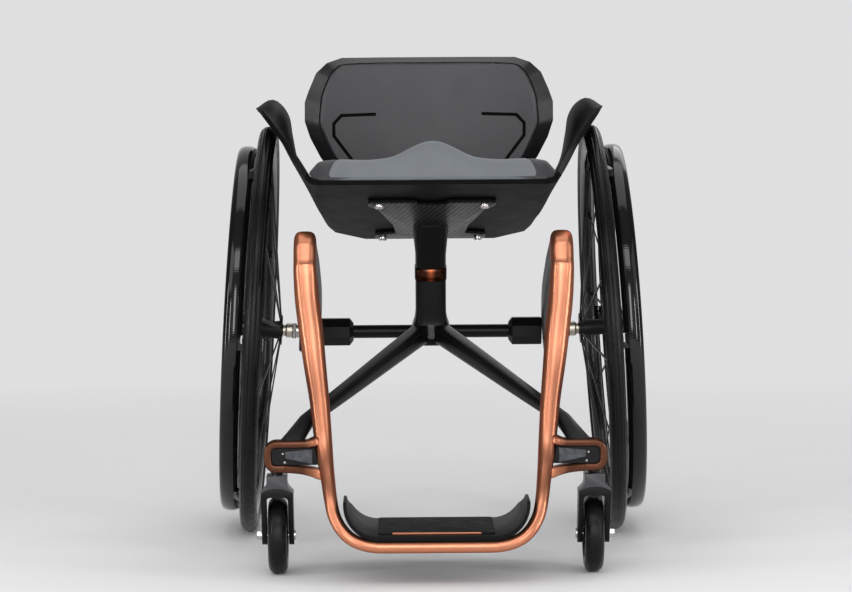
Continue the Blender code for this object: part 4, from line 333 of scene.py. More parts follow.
class Look:
    """A material under construction, with a short way to add and join nodes."""

    def __init__(self, name, colour, roughness, metallic=0.0, coat=0.0, sheen=0.0, specular=0.5):
        self.material = bpy.data.materials.get(name) or bpy.data.materials.new(name)
        self.material.use_nodes = True
        self.tree = self.material.node_tree
        self.tree.nodes.clear()
        self.shader = self.node("ShaderNodeBsdfPrincipled")
        self.set(self.shader, {"Base Color": (*colour, 1), "Roughness": roughness, "Metallic": metallic,
                               "Coat Weight": coat, "Coat Roughness": 0.06, "Sheen Weight": sheen,
                               "Specular IOR Level": specular})
        output = self.node("ShaderNodeOutputMaterial")
        self.join(self.shader, "BSDF", output, "Surface")
        self.colour = colour
        self.roughness = roughness
        self.place = self.node("ShaderNodeTexCoord")

    def node(self, kind, **settings):
        made = self.tree.nodes.new(kind)
        for key, value in settings.items():
            setattr(made, key, value)
        return made

    def set(self, node, values):
        for key, value in values.items():
            node.inputs[key].default_value = value
        return node

    def link(self, source, entry):
        self.tree.links.new(source, entry)

    def join(self, source, output, target, entry):
        self.link(source.outputs[output], target.inputs[entry])

    def math(self, operation, first, second=None):
        """A Math node; each side is a socket or a number."""
        node = self.node("ShaderNodeMath", operation=operation)
        for i, side in enumerate((first, second)):
            if isinstance(side, (int, float)):
                node.inputs[i].default_value = side
            elif side is not None:
                self.link(side, node.inputs[i])
        return node.outputs[0]

    def times(self, first, second):
        return self.math("MULTIPLY", first, second)

    def axes(self):
        """Object coordinates as three sockets."""
        split = self.node("ShaderNodeSeparateXYZ")
        self.join(self.place, "Object", split, "Vector")
        return split.outputs[0], split.outputs[1], split.outputs[2]

    def noise(self, scale, detail=3.0, stretch=None):
        """Noise in object space, stretched along an axis if asked."""
        texture = self.node("ShaderNodeTexNoise")
        self.set(texture, {"Scale": scale, "Detail": detail, "Roughness": 0.55})
        source = self.place.outputs["Object"]
        if stretch:
            mapping = self.node("ShaderNodeMapping")
            mapping.inputs["Scale"].default_value = stretch
            self.link(source, mapping.inputs["Vector"])
            source = mapping.outputs[0]
        self.link(source, texture.inputs["Vector"])
        return texture.outputs["Fac"]

    def cells(self, scale, feature="DISTANCE_TO_EDGE"):
        """Voronoi cells in object space."""
        texture = self.node("ShaderNodeTexVoronoi", feature=feature)
        texture.inputs["Scale"].default_value = scale
        self.join(self.place, "Object", texture, "Vector")
        return texture.outputs["Distance"]

    def twill(self, across, along):
        """Two by two twill: which tow lies on top, and the weave's height."""
        step = self.math("FLOORED_MODULO", self.math("ADD", self.math("FLOOR", across), self.math("FLOOR", along)), 4.0)
        warp = self.math("LESS_THAN", step, 1.5)
        curves = [self.math("ABSOLUTE", self.math("SINE", self.times(way, math.pi)))
                  for way in (across, along)]
        height = self.math("ADD", self.times(warp, curves[0]),
                           self.times(self.math("SUBTRACT", 1.0, warp), curves[1]))
        return warp, height

    def remap(self, source, low, high, start=0.3, end=0.7):
        node = self.node("ShaderNodeMapRange")
        self.set(node, {"From Min": start, "From Max": end, "To Min": low, "To Max": high})
        self.link(source, node.inputs["Value"])
        return node.outputs[0]

    def shade(self, source, low, high, start=0.3, end=0.7):
        """Base colour between two multiples of the look's colour."""
        ramp = self.node("ShaderNodeMix", data_type="RGBA")
        ramp.inputs["A"].default_value = (*[min(1, c * low) for c in self.colour], 1)
        ramp.inputs["B"].default_value = (*[min(1, c * high) for c in self.colour], 1)
        self.link(self.remap(source, 0.0, 1.0, start, end), ramp.inputs["Factor"])
        self.link(ramp.outputs["Result"], self.shader.inputs["Base Color"])

    def rough(self, source, spread, start=0.3, end=0.7):
        low, high = max(0.02, self.roughness - spread), self.roughness + spread
        self.link(self.remap(source, low, high, start, end), self.shader.inputs["Roughness"])

    def grain(self, tone, low, high, wear, spread):
        """Uneven colour and roughness from two noises, each given by its scale, detail and stretch."""
        self.shade(self.noise(*tone), low, high)
        self.rough(self.noise(*wear), spread)

    def bump(self, *layers):
        """Bump from height sockets, each with its depth in metres."""
        normal = None
        for source, depth in layers:
            node = self.node("ShaderNodeBump")
            self.set(node, {"Strength": 1.0, "Distance": depth})
            self.link(source, node.inputs["Height"])
            if normal is not None:
                self.link(normal, node.inputs["Normal"])
            normal = node.outputs[0]
        self.link(normal, self.shader.inputs["Normal"])


def coppers():
    """Metallic copper lacquer with fine flakes, darkened on the caster loops as painted shade, and a darker copper for
    the post's collar with a painted glint down its middle and painted shade towards its sides.
    """
    made = {}
    for name, colour, rough, coat in (("copper_paint", (0.58, 0.224, 0.127), 0.31, 0.1),
                                      ("collar_copper_painted_glint", (0.42, 0.100, 0.032), 0.24, 0.15)):
        look = Look(name, colour, rough, metallic=0.92, coat=coat)
        x, _, z = look.axes()
        out = look.math("ABSOLUTE", x)
        if name == "copper_paint":
            # Painted shade: the caster loops, out past the legs and low down, are darkened towards black.
            depth = look.times(look.remap(out, 0.0, 0.86, 0.150, 0.172), look.remap(z, 1.0, 0.0, 0.24, 0.30))
        else:
            # Painted glint down the collar's middle, fading to painted shade towards its sides.
            depth = look.remap(out, 0.30, 0.97, 0.0005, 0.0065)
        look.shade(look.math("ADD", depth, look.times(look.noise(9, 4), 0.06)), 1.05, 0.06, 0.0, 1.0)
        look.rough(look.noise(60, 5), 0.012)
        look.bump((look.cells(2600, "F1"), 0.000003), (look.noise(900, 2), 0.000002))
        look.set(look.shader, {"Specular Tint": (0.30, 0.085, 0.045, 1)})
        made[name] = look
    return made


def blacks():
    """Satin carbon parts, moulded seat plastic, rubber and the polished carbon of the wheels."""
    made = {}
    satin = Look("satin_black", (0.0055, 0.0055, 0.006), 0.34, specular=0.17)
    satin.grain((14, 4), 0.92, 1.10, (45, 5), 0.025)
    satin.bump((satin.noise(900, 3), 0.00002))

    for name, colour, rough, specular in (("seat_plastic", (0.0040, 0.0040, 0.0043), 0.50, 0.025),
                                          ("tray_coat", (0.0060, 0.0060, 0.0064), 0.46, 0.06),
                                          ("back_plastic", (0.0110, 0.0110, 0.0120), 0.27, 0.50)):
        plastic = Look(name, colour, rough, specular=specular)
        plastic.grain((11, 4), 0.85, 1.25, (30, 4), 0.03)
        plastic.bump((plastic.cells(1400), 0.000015))
        made[name] = plastic

    rubber = Look("tyre_rubber", (0.006, 0.006, 0.0065), 0.30, specular=0.17)
    rubber.grain((18, 5), 0.75, 1.4, (70, 4), 0.08)
    rubber.bump((rubber.noise(1300, 4), 0.00004))

    grip = Look("grip_rubber", (0.0095, 0.0095, 0.0100), 0.70, specular=0.1)
    grip.grain((24, 4), 0.8, 1.5, (60, 3), 0.08)
    grip.bump((grip.cells(520), 0.0003))

    rim = Look("gloss_carbon", (0.006, 0.006, 0.0065), 0.20, coat=0.25, specular=0.25)
    x, y, z = rim.axes()
    warp, height = rim.twill(rim.times(rim.math("ARCTAN2", y, z), 90.0), rim.times(x, 350.0))
    rim.shade(warp, 0.7, 1.4, 0.0, 1.0)
    rim.rough(rim.noise(80, 3), 0.04)
    rim.bump((height, 0.00002))

    hoop = Look("handrim_coat", (0.004, 0.004, 0.0045), 0.06, specular=0.40)
    _, y, z = hoop.axes()
    ribs = hoop.math("SINE", hoop.times(hoop.math("ARCTAN2", y, z), 520.0))
    hoop.grain((20, 4), 0.8, 1.3, (60, 3), 0.015)
    hoop.bump((ribs, 0.000008), (hoop.noise(700, 3), 0.000005))

    plate = Look("carbon_twill", (0.011, 0.011, 0.012), 0.36, specular=0.10)
    x, y, z = plate.axes()
    slant = plate.times(plate.math("ADD", x, plate.times(y, 0.22)), 128.0)
    tow = plate.math("SINE", plate.times(slant, 2 * math.pi))
    warp, height = plate.twill(plate.times(x, 640.0), plate.times(y, 640.0))
    below = plate.math("LESS_THAN", z, -0.0058)
    shown = plate.times(plate.math("ADD", tow, plate.times(warp, 0.25)), below)
    plate.shade(shown, 0.25, 5.2, 0.35, 0.90)
    plate.rough(plate.noise(80, 3), 0.04)
    plate.bump((height, 0.00004), (tow, 0.00008))

    made.update(satin_black=satin, tyre_rubber=rubber, grip_rubber=grip, gloss_carbon=rim, handrim_coat=hoop,
                carbon_twill=plate)
    return made


def metals_and_lens():
    """Bare metals with turning marks, the grey crown and the pale lens."""
    made = {}
    for name, colour, rough, metallic in (("polished_steel", (0.56, 0.55, 0.54), 0.22, 1.0),
                                          ("light_alloy", (0.74, 0.68, 0.58), 0.34, 1.0),
                                          ("grey_crown", (0.050, 0.050, 0.054), 0.34, 0.4)):
        look = Look(name, colour, rough, metallic)
        look.grain((30, 4), 0.88, 1.1, (120, 4, (1, 12, 12)), 0.06)
        look.bump((look.noise(700, 3, (1, 6, 6)), 0.00001))
        made[name] = look
    lens = Look("grey_lens", (0.044, 0.047, 0.052), 0.26, coat=0.2, specular=0.3)
    lens.grain((150, 3), 0.6, 1.6, (90, 3), 0.04)
    lens.bump((lens.noise(500, 2), 0.00001))
    made["grey_lens"] = lens
    return made


def covers():
    """Stretch covers of the cushion and the back, each with its knit, and a near-black look that paints the shade
    inside the back pad's channels.
    """
    made = {}
    for name, colour, rough, scale, sheen, upright_knit in (
            ("cushion_cover", (0.122, 0.134, 0.147), 0.66, 900.0, 0.12, False),
            ("cushion_side", (0.022, 0.022, 0.025), 0.56, 900.0, 0.12, False),
            ("back_cover", (0.037, 0.036, 0.040), 0.42, 1100.0, 0.06, True),
            # Painted shade: near black, with no sheen, for the faces inside the back pad's channels.
            ("channel_painted_shade", (0.003, 0.003, 0.003), 0.70, 1100.0, 0.0, True)):
        look = Look(name, colour, rough, sheen=sheen, specular=0.5 if sheen else 0.05)
        x, y, z = look.axes()
        waves = [look.math("SINE", look.times(way, scale * math.pi))
                 for way in (x, z if upright_knit else y)]
        look.grain((13, 5), 0.94, 1.07, (40, 4), 0.05)
        look.bump((look.times(*waves), 0.00006), (look.noise(55, 3), 0.0001))
        made[name] = look
    return made


# Stage and camera

PALE = (0.74, 0.74, 0.75, 1)
FLOOR_REACH, FADE_START, FADE_END = 40, 0.8, 2.6  # half the floor's width, and where it fades to the backdrop
LAMP_AIM, EVEN_LIGHT = Vector((0, 0, 0.35)), 0.44


def make_floor():
    """A wide pale floor that fades to the backdrop's colour far from the chair."""
    corners = [(x * FLOOR_REACH, y * FLOOR_REACH, 0) for x, y in ((-1, -1), (1, -1), (1, 1), (-1, 1))]
    floor = in_scene("floor", mesh_of(corners, [(0, 1, 2, 3)]))
    look = Look("floor_paper", (0.78, 0.78, 0.79), 0.85, specular=0.2)
    look.shade(look.noise(3, 3), 0.99, 1.01)
    length = look.node("ShaderNodeVectorMath", operation="LENGTH")
    look.join(look.place, "Object", length, "Vector")
    far = look.remap(length.outputs["Value"], 0.0, 1.0, FADE_START, FADE_END)
    path = look.node("ShaderNodeLightPath")
    backdrop = look.set(look.node("ShaderNodeEmission"), {"Color": PALE})
    mix = look.node("ShaderNodeMixShader")
    look.link(look.times(far, path.outputs["Is Camera Ray"]), mix.inputs[0])
    look.link(look.shader.outputs[0], mix.inputs[1])
    look.link(backdrop.outputs[0], mix.inputs[2])
    output = [node for node in look.tree.nodes if node.bl_idname == "ShaderNodeOutputMaterial"][0]
    look.link(mix.outputs[0], output.inputs["Surface"])
    floor.data.materials.append(look.material)


def make_world():
    """Pale backdrop for the camera, a softer room for reflections and even light for the rest."""
    world = bpy.context.scene.world or bpy.data.worlds.new("studio")
    bpy.context.scene.world = world
    world.use_nodes = True
    tree = world.node_tree
    tree.nodes.clear()
    node, link = tree.nodes.new, tree.links.new

    def background(colour, strength=1.0):
        made = node("ShaderNodeBackground")
        made.inputs["Color"].default_value = colour
        made.inputs["Strength"].default_value = strength
        return made

    def ramp(source, start, end, low, high):
        made = node("ShaderNodeMapRange")
        for key, value in (("From Min", start), ("From Max", end), ("To Min", low), ("To Max", high)):
            made.inputs[key].default_value = value
        link(source, made.inputs["Value"])
        return made.outputs[0]

    split = node("ShaderNodeSeparateXYZ")
    link(node("ShaderNodeTexCoord").outputs["Generated"], split.inputs[0])
    sideways = node("ShaderNodeMath")
    sideways.operation = "ABSOLUTE"
    link(split.outputs[0], sideways.inputs[0])
    room = node("ShaderNodeMath")
    room.operation = "MULTIPLY"
    link(ramp(split.outputs[2], 0.05, 0.85, 1.0, 0.35), room.inputs[0])
    link(ramp(sideways.outputs[0], 0.15, 0.80, 1.0, 0.20), room.inputs[1])
    reflected = background(PALE)
    link(room.outputs[0], reflected.inputs["Strength"])
    path = node("ShaderNodeLightPath")
    shader = background((1, 1, 1, 1), EVEN_LIGHT).outputs[0]
    for ray, shown in (("Is Glossy Ray", reflected), ("Is Transmission Ray", reflected),
                       ("Is Camera Ray", background(PALE))):
        mix = node("ShaderNodeMixShader")
        link(path.outputs[ray], mix.inputs[0])
        link(shader, mix.inputs[1])
        link(shown.outputs[0], mix.inputs[2])
        shader = mix.outputs[0]
    link(shader, node("ShaderNodeOutputWorld").inputs[0])


def make_lamps():
    """Soft lamps round the chair: broad ones above and behind, and narrow upright ones in front and at the sides."""
    for name, spot, width, height, power in (
            ("key", (-2.2, -2.6, 3.0), 2.0, 2.0, 24), ("fill", (2.6, -2.0, 2.2), 2.2, 2.2, 13),
            ("top", (0.0, 0.8, 3.2), 2.4, 2.4, 21), ("rear", (1.2, 3.0, 2.4), 1.8, 1.8, 13),
            ("above", (0.0, -2.6, 3.1), 1.6, 0.9, 17), ("front", (0.0, -4.4, 1.5), 0.7, 2.2, 36),
            ("strip_left", (2.4, -1.5, 0.8), 0.16, 1.5, 17), ("strip_right", (-2.4, -1.5, 0.8), 0.16, 1.5, 17),
            ("band_left", (1.5, -3.4, 0.9), 0.14, 1.5, 14), ("band_right", (-1.5, -3.4, 0.9), 0.14, 1.5, 14)):
        lamp = bpy.data.lights.new(name, "AREA")
        lamp.shape = "RECTANGLE"
        lamp.size, lamp.size_y = width, height
        lamp.energy = power
        item = in_scene(name, lamp)
        item.location = spot
        aim = LAMP_AIM - Vector(spot)
        item.rotation_euler = aim.to_track_quat("-Z", "Y").to_euler()


def make_camera():
    """Camera fitted to the photograph's wheels, handrims and frame."""
    distance, height, shift_x = 4.9, 0.66143, -0.05487
    yaw, pitch, roll = 0.00981, -0.06549, -0.00625
    focal_pixels, width_pixels, sensor = 3380.08, 852.0, 36.0
    ahead = Vector((math.sin(yaw) * math.cos(pitch), math.cos(yaw) * math.cos(pitch), math.sin(pitch)))
    right = Vector((math.cos(yaw), -math.sin(yaw), 0))
    up = right.cross(ahead)
    right_rolled = right * math.cos(roll) + up * math.sin(roll)
    up_rolled = up * math.cos(roll) - right * math.sin(roll)
    data = bpy.data.cameras.new("camera")
    data.sensor_width = sensor
    data.lens = focal_pixels / width_pixels * sensor
    data.clip_end = 200
    item = in_scene("camera", data)
    matrix = Matrix((right_rolled, up_rolled, -ahead)).transposed().to_4x4()
    matrix.translation = (shift_x, -distance + AXLE_Y, height)
    item.matrix_world = matrix
    bpy.context.scene.camera = item
    bpy.context.scene.view_settings.view_transform = "Standard"


# Rear wheels, round their own axle

CAMBER = math.radians(3.2)
WHEEL_HALF_TRACK = 0.2484
WHEEL_RADIUS, TYRE_WIDTH = 0.2955, 0.025
RIM_OUTER, RIM_INNER = 0.2745, 0.2560
HANDRIM_RADIUS, HANDRIM_OFFSET = 0.2560, 0.0284
HUB_HALF_LENGTH, CONE_LENGTH, NUT_THICKNESS, RECEIVER_NECK = 0.0335, 0.0140, 0.0050, 0.0057
BOSS_OUTER = -HUB_HALF_LENGTH - CONE_LENGTH - NUT_THICKNESS - RECEIVER_NECK
BOSS_INNER = BOSS_OUTER - 0.0280
AXLE_HEIGHT = [j for j in frame["joints"] if j["name"] == "left_wheel_spin"][0]["pos_m"][2]
TUBE_HEIGHT = AXLE_HEIGHT + BOSS_INNER * math.sin(CAMBER)
WHEEL_STEPS = 192
TYRE_SET = 0.0014           # how far the tread stays inside the wheel's radius
TREAD_START, TREAD_SWEEP, TREAD_STEPS = -18, 216, 44
GROOVE_DEPTH = 0.0007
GROOVES = ((14, 19), (36, 41), (76, 80))  # in degrees from the tread's middle
RIM_HALF_WIDTH = 0.0095
HANDRIM_SECTION = (0.027, 0.017, 2.3, 28)  # width, depth, squareness and sides
HANDRIM_TABS, TAB_HALF_WIDTH = 6, 0.0115
SPOKES_PER_FLANGE, SPOKE_LEAD = 12, math.radians(7)
SPOKE_START_X, SPOKE_START_RADIUS, SPOKE_RIM_OFFSET = 0.0305, 0.0150, 0.003
# Sections of a spoke and its nipple: share of the length, width, thickness
SPOKE_LEVELS = (
    (0, 0.0036, 0.0030), (0.05, 0.0046, 0.0019), (0.93, 0.0046, 0.0018),
    (0.945, 0.0030, 0.0026), (0.95, 0.0046, 0.0046), (1.0, 0.0052, 0.0052),
)


def wheel_place(side):
    """Places a shape drawn round a wheel's axle in the chair frame."""
    turn = Matrix.Rotation(math.pi, 4, "Z") if side < 0 else Matrix.Identity(4)
    return Matrix.Translation((side * WHEEL_HALF_TRACK, 0, AXLE_HEIGHT)) @ turn @ Matrix.Rotation(-CAMBER, 4, "Y")


def tyre_mesh():
    """Tyre with a fine centre rib, grooves beside it and a bead line."""
    radius = TYRE_WIDTH / 2
    middle = WHEEL_RADIUS - TYRE_SET - radius
    profile = []
    for i in range(TREAD_STEPS + 1):
        angle = TREAD_START + TREAD_SWEEP * i / TREAD_STEPS
        crown = abs(angle - 90)
        reach = radius - GROOVE_DEPTH * any(low < crown < high for low, high in GROOVES)
        profile.append((reach * math.cos(math.radians(angle)), middle + reach * math.sin(math.radians(angle))))
    return turned([(0.0085, RIM_OUTER + GAP)] + profile[1:-1] + [(-0.0085, RIM_OUTER + GAP)], WHEEL_STEPS)


def rim_mesh():
    """Rim with rounded shoulders and a drawn-in inner edge."""
    half = RIM_HALF_WIDTH
    side = [(half - 0.0012, RIM_OUTER), (half, RIM_OUTER - 0.0012), (half, RIM_OUTER - 0.0080),
            (half - 0.0006, RIM_OUTER - 0.0095), (0.0066, RIM_INNER + 0.0025), (0.0045, RIM_INNER + 0.0004),
            (0.0020, RIM_INNER)]
    return turned(both_ways(side), WHEEL_STEPS)


def handrim_mesh():
    """Oval hoop on six tabs."""
    hoop = turned([(HANDRIM_OFFSET + x, HANDRIM_RADIUS + r) for x, r in oval(*HANDRIM_SECTION)], WHEEL_STEPS)
    near, far = 0.0098, HANDRIM_OFFSET - 0.0055
    outline = [(near, RIM_OUTER - 0.0165), (far, RIM_OUTER - 0.0215), (far, RIM_OUTER - 0.0120),
               (near, RIM_OUTER - 0.0035)]
    tabs = []
    for i in range(HANDRIM_TABS):
        tab = bevelled(prism(outline, -TAB_HALF_WIDTH, TAB_HALF_WIDTH, "Y"), 0.0015, 2)
        tabs.append(moved(tab, Matrix.Rotation(2 * math.pi * (i + 0.5) / HANDRIM_TABS, 4, "X")))
    return union(hoop, joined(tabs))


def hub_mesh():
    """Hub shell with two flanges."""
    half = [(0.0, 0.0112), (0.0160, 0.0118), (0.0235, 0.0128), (0.0282, 0.0135), (0.0285, 0.0211), (0.0289, 0.0215),
            (0.0321, 0.0215), (0.0325, 0.0211), (0.0325, 0.0098), (0.0330, 0.0098), (HUB_HALF_LENGTH, 0.0094),
            (HUB_HALF_LENGTH, 0.0067)]
    return turned(half + [(-x, r) for x, r in reversed(half[1:])], 64)


def spokes_mesh():
    """Flattened spokes, each with a round nipple at the rim."""
    shapes = []
    for side in (1, -1):
        for i in range(SPOKES_PER_FLANGE):
            start = Vector((side * SPOKE_START_X, 0, SPOKE_START_RADIUS))
            end = Vector((side * SPOKE_RIM_OFFSET, 0, RIM_INNER + 0.001))
            end.rotate(Matrix.Rotation(side * SPOKE_LEAD, 3, "X"))
            along = (end - start).normalized()
            across = Vector((1, 0, 0)).cross(along).normalized()
            through = along.cross(across)
            rings = []
            for share, width, thick in SPOKE_LEVELS:
                spot = start.lerp(end, share)
                rings.append([spot + across * u + through * v for u, v in oval(width, thick, 2.8, 10)])
            angle = 2 * math.pi * (i + 0.25 * (1 - side)) / SPOKES_PER_FLANGE
            shapes.append(moved(loft(rings), Matrix.Rotation(angle, 4, "X")))
    return joined(shapes)


def receiver_mesh():
    """Threaded sleeve in the side arm's boss, with its hexagonal nut outside."""
    outer = -HUB_HALF_LENGTH - CONE_LENGTH - GAP
    face, inner, edge = outer - NUT_THICKNESS, BOSS_INNER, 0.0006
    sleeve = ((outer, 0.0067), (inner, 0.0067), (inner, 0.0095), (inner + edge, 0.0100), (face, 0.0100))
    nut = ((face, 0.0119), (face + edge, 0.0125), (outer - edge, 0.0125), (outer, 0.0119))
    return loft([ring_round("X", x, radius, 72) for x, radius in sleeve]
                + [ring_round("X", x, radius, 72, 6) for x, radius in nut], closed=True)


def build_wheels():
    cap = HUB_HALF_LENGTH + GAP
    stub = [(BOSS_INNER + 0.004, 0.0053), (BOSS_INNER + 0.005, 0.0063), (cap, 0.0063), (cap, 0.0094),
            (cap + 0.0006, 0.0098), (cap + 0.0060, 0.0098), (cap + 0.0070, 0.0088), (cap + 0.0070, 0.0046),
            (cap + 0.0040, 0.0046)]
    face = cap + 0.0070 + 0.0042
    knob = [(face - 0.0095, 0.0041), (face - 0.0010, 0.0041), (face - 0.0003, 0.0037), (face, 0.0030)]
    outer, inner = -HUB_HALF_LENGTH - GAP, -HUB_HALF_LENGTH - CONE_LENGTH
    cone = [(outer, 0.0066), (outer, 0.0077), (outer - 0.0003, 0.0080), (outer - 0.0035, 0.0080),
            (outer - 0.0055, 0.0105), (inner + 0.0005, 0.0105), (inner, 0.0100), (inner, 0.0066)]
    for name, side in SIDES.items():
        place = CHAIR @ wheel_place(side)
        wheel = name + "_wheel"
        piece("tyre_tread_" + name, tyre_mesh(), "tyre_rubber", wheel, "tyre_" + name, place)
        piece("rim_hoop_" + name, rim_mesh(), "gloss_carbon", wheel, "rim_" + name, place)
        piece("handrim_hoop_" + name, handrim_mesh(), "handrim_coat", wheel, "handrim_" + name, place)
        piece("hub_shell_" + name, hub_mesh(), "satin_black", wheel, "wheel_hub_" + name, place)
        piece("spokes_" + name, spokes_mesh(), "satin_black", wheel, (), place)
        piece("quick_release_" + name, spindle(stub), "polished_steel", "chair_frame",
              "quick_release_axle_" + name, place)
        piece("button_cap_" + name, spindle(knob), "light_alloy", name + "_button", "release_button_" + name, place)
        piece("cone_spacer_" + name, turned(cone, 64), "light_alloy", "chair_frame", "axle_cone_" + name, place)
        piece("axle_sleeve_" + name, receiver_mesh(), "polished_steel", "chair_frame", "axle_receiver_" + name, place)


# Casters, round their own stem, with the trail at +Y

CASTER_STEM_Y, CASTER_HALF_TRACK, CASTER_TRAIL = -0.462, 0.2095, 0.0300
CASTER_AXLE_HEIGHT, CASTER_RADIUS = 0.05096, 0.0509
LEG_FACE, LEG_THICKNESS = 0.02115, 0.0066
FORK_TOP, CROWN_FOOT, CROWN_TOP = 0.1180, 0.1125, 0.1350
FORK_EYE_RADIUS, FORK_FRONT_Y, FORK_REAR_Y = 0.0125, -0.0158, 0.0230
CASTER_HALF_WIDTH, CASTER_BORE, STEM_BORE = 0.01275, 0.0044, 0.0046


def caster_tyre_mesh():
    """Solid tyre whose sides round over to a narrow tread."""
    half = CASTER_HALF_WIDTH
    side = [(0.01075, 0.0333), (0.0122, 0.0343), (half, 0.0368)]
    for i in range(13):
        angle = math.pi / 2 * i / 12
        side.append((half - 0.0098 * (1 - math.cos(angle)), CASTER_RADIUS - 0.0110 * (1 - math.sin(angle))))
    return turned(both_ways(side))


def caster_hub_mesh():
    """Dished hub with a boss at its axle and a band under the tyre."""
    side = [(0.01325, 0.0043), (0.01325, 0.0078), (0.01285, 0.0083), (0.0110, 0.0090), (0.0075, 0.0130),
            (0.0052, 0.0180), (0.0045, 0.0225), (0.0045, 0.0262), (0.0058, 0.0280), (0.0090, 0.0289),
            (0.0103, 0.0290), (0.01075, 0.0294), (0.01075, 0.0330)]
    return turned(both_ways(side))


def crown_arch(foot, gap):
    """Arch between the fork and the crown over it."""
    half, rise = LEG_FACE - GAP / 3, FORK_TOP + gap - foot
    radius = (half ** 2 + rise ** 2) / (2 * rise)
    reach = math.degrees(math.asin(half / radius))
    return arc((0, foot + rise - radius), radius, 90 - reach, 90 + reach, 20)


def caster_fork_mesh():
    """Two legs under an arched bridge, cut to their outline in side view."""
    outer, inner = LEG_FACE, LEG_FACE - LEG_THICKNESS
    shoulder, foot, corner = CROWN_FOOT - GAP, CASTER_AXLE_HEIGHT - FORK_EYE_RADIUS, 0.0060
    under = CASTER_AXLE_HEIGHT + 0.0514 + 0.0040
    front = [(outer, foot), (outer, shoulder)] + crown_arch(shoulder, 0)[1:-1]
    front += [(-outer, shoulder), (-outer, foot), (-inner, foot)]
    front += arc((-inner + corner, under - corner), corner, 180, 90, 6)
    front += arc((inner - corner, under - corner), corner, 90, 0, 6) + [(inner, foot)]
    legs = prism(front, -0.13, 0.15, "Y")
    rear = arc((CASTER_TRAIL, CASTER_AXLE_HEIGHT), FORK_EYE_RADIUS, 10, -170, 24)
    above, neck = FORK_TOP + 0.0125, shoulder - 0.0060
    outline = [(FORK_REAR_Y, neck)] + rear
    outline += [(FORK_FRONT_Y, neck), (FORK_FRONT_Y, above), (FORK_REAR_Y, above)]
    legs = boolean("INTERSECT", legs, prism(outline, -2 * outer, 2 * outer, "X"))
    bore = moved(drill(-0.05, 0.05, CASTER_BORE), Matrix.Translation((0, CASTER_TRAIL, CASTER_AXLE_HEIGHT)))
    return bevelled(subtract(legs, bore), 0.0010, 3, 40)


def caster_crown_mesh():
    """Flared grey cap over the fork, with drawn-in sides."""
    sides = smooth(((0.0220, CROWN_FOOT), (0.01425, 0.12175), (0.0135, CROWN_TOP)), 8)
    outline = [(0.0220, CROWN_FOOT)] + crown_arch(CROWN_FOOT, GAP) + [(-x, z) for x, z in sides]
    outline += [(x, z) for x, z in reversed(sides[1:])]
    crown = prism(outline, -0.0170, 0.0200, "Y")
    crown = subtract(crown, upright([(CROWN_FOOT, STEM_BORE), (CROWN_TOP + 0.004, STEM_BORE)]))
    return bevelled(crown, 0.0016, 4, 50)


def caster_bolt_mesh(side):
    """Bolt through the fork: low head inboard, tall hexagonal nut outboard."""
    face = LEG_FACE + GAP
    # X, radius, and the corners of a hexagon or 0 for a circle
    rings = [(-face - 0.0022, 0.0052, 0), (-face - 0.0016, 0.0066, 0), (-face, 0.0066, 0), (-face, 0.0040, 0),
             (face, 0.0040, 0), (face, 0.0066, 0), (face + 0.0015, 0.0066, 0), (face + 0.0015, 0.0062, 6),
             (face + 0.0066, 0.0062, 6), (face + 0.0072, 0.0054, 6)]
    bolt = loft([ring_round("X", x, radius, 48, corners) for x, radius, corners in rings])
    return moved(bolt, Matrix.Scale(side, 4, (1, 0, 0)))


def build_casters():
    bearing = [(0.1353, 0.0043), (0.1353, 0.0075), (0.1389, 0.0090), (0.1389, 0.0043)]
    for name, side in SIDES.items():
        swivel = CHAIR @ Matrix.Translation((side * CASTER_HALF_TRACK, CASTER_STEM_Y, 0))
        axle = swivel @ Matrix.Translation((0, CASTER_TRAIL, CASTER_AXLE_HEIGHT))
        fork, wheel = name + "_caster_fork", name + "_caster_wheel"
        piece("caster_tread_" + name, caster_tyre_mesh(), "tyre_rubber", wheel, "caster_tyre_" + name, axle)
        piece("caster_disc_" + name, caster_hub_mesh(), "satin_black", wheel, "caster_hub_" + name, axle)
        piece("caster_legs_" + name, caster_fork_mesh(), "satin_black", fork, "caster_fork_" + name, swivel)
        piece("caster_cap_" + name, caster_crown_mesh(), "grey_crown", fork, "caster_crown_" + name, swivel)
        piece("caster_bolt_" + name, caster_bolt_mesh(side), "polished_steel", fork, "caster_axle_" + name, axle)
        ring = loft([ring_round("Z", z, radius, 64) for z, radius in bearing], closed=True)
        piece("stem_ring_" + name, ring, "polished_steel", "chair_frame", "stem_bearing_" + name, swivel)


# Front frame

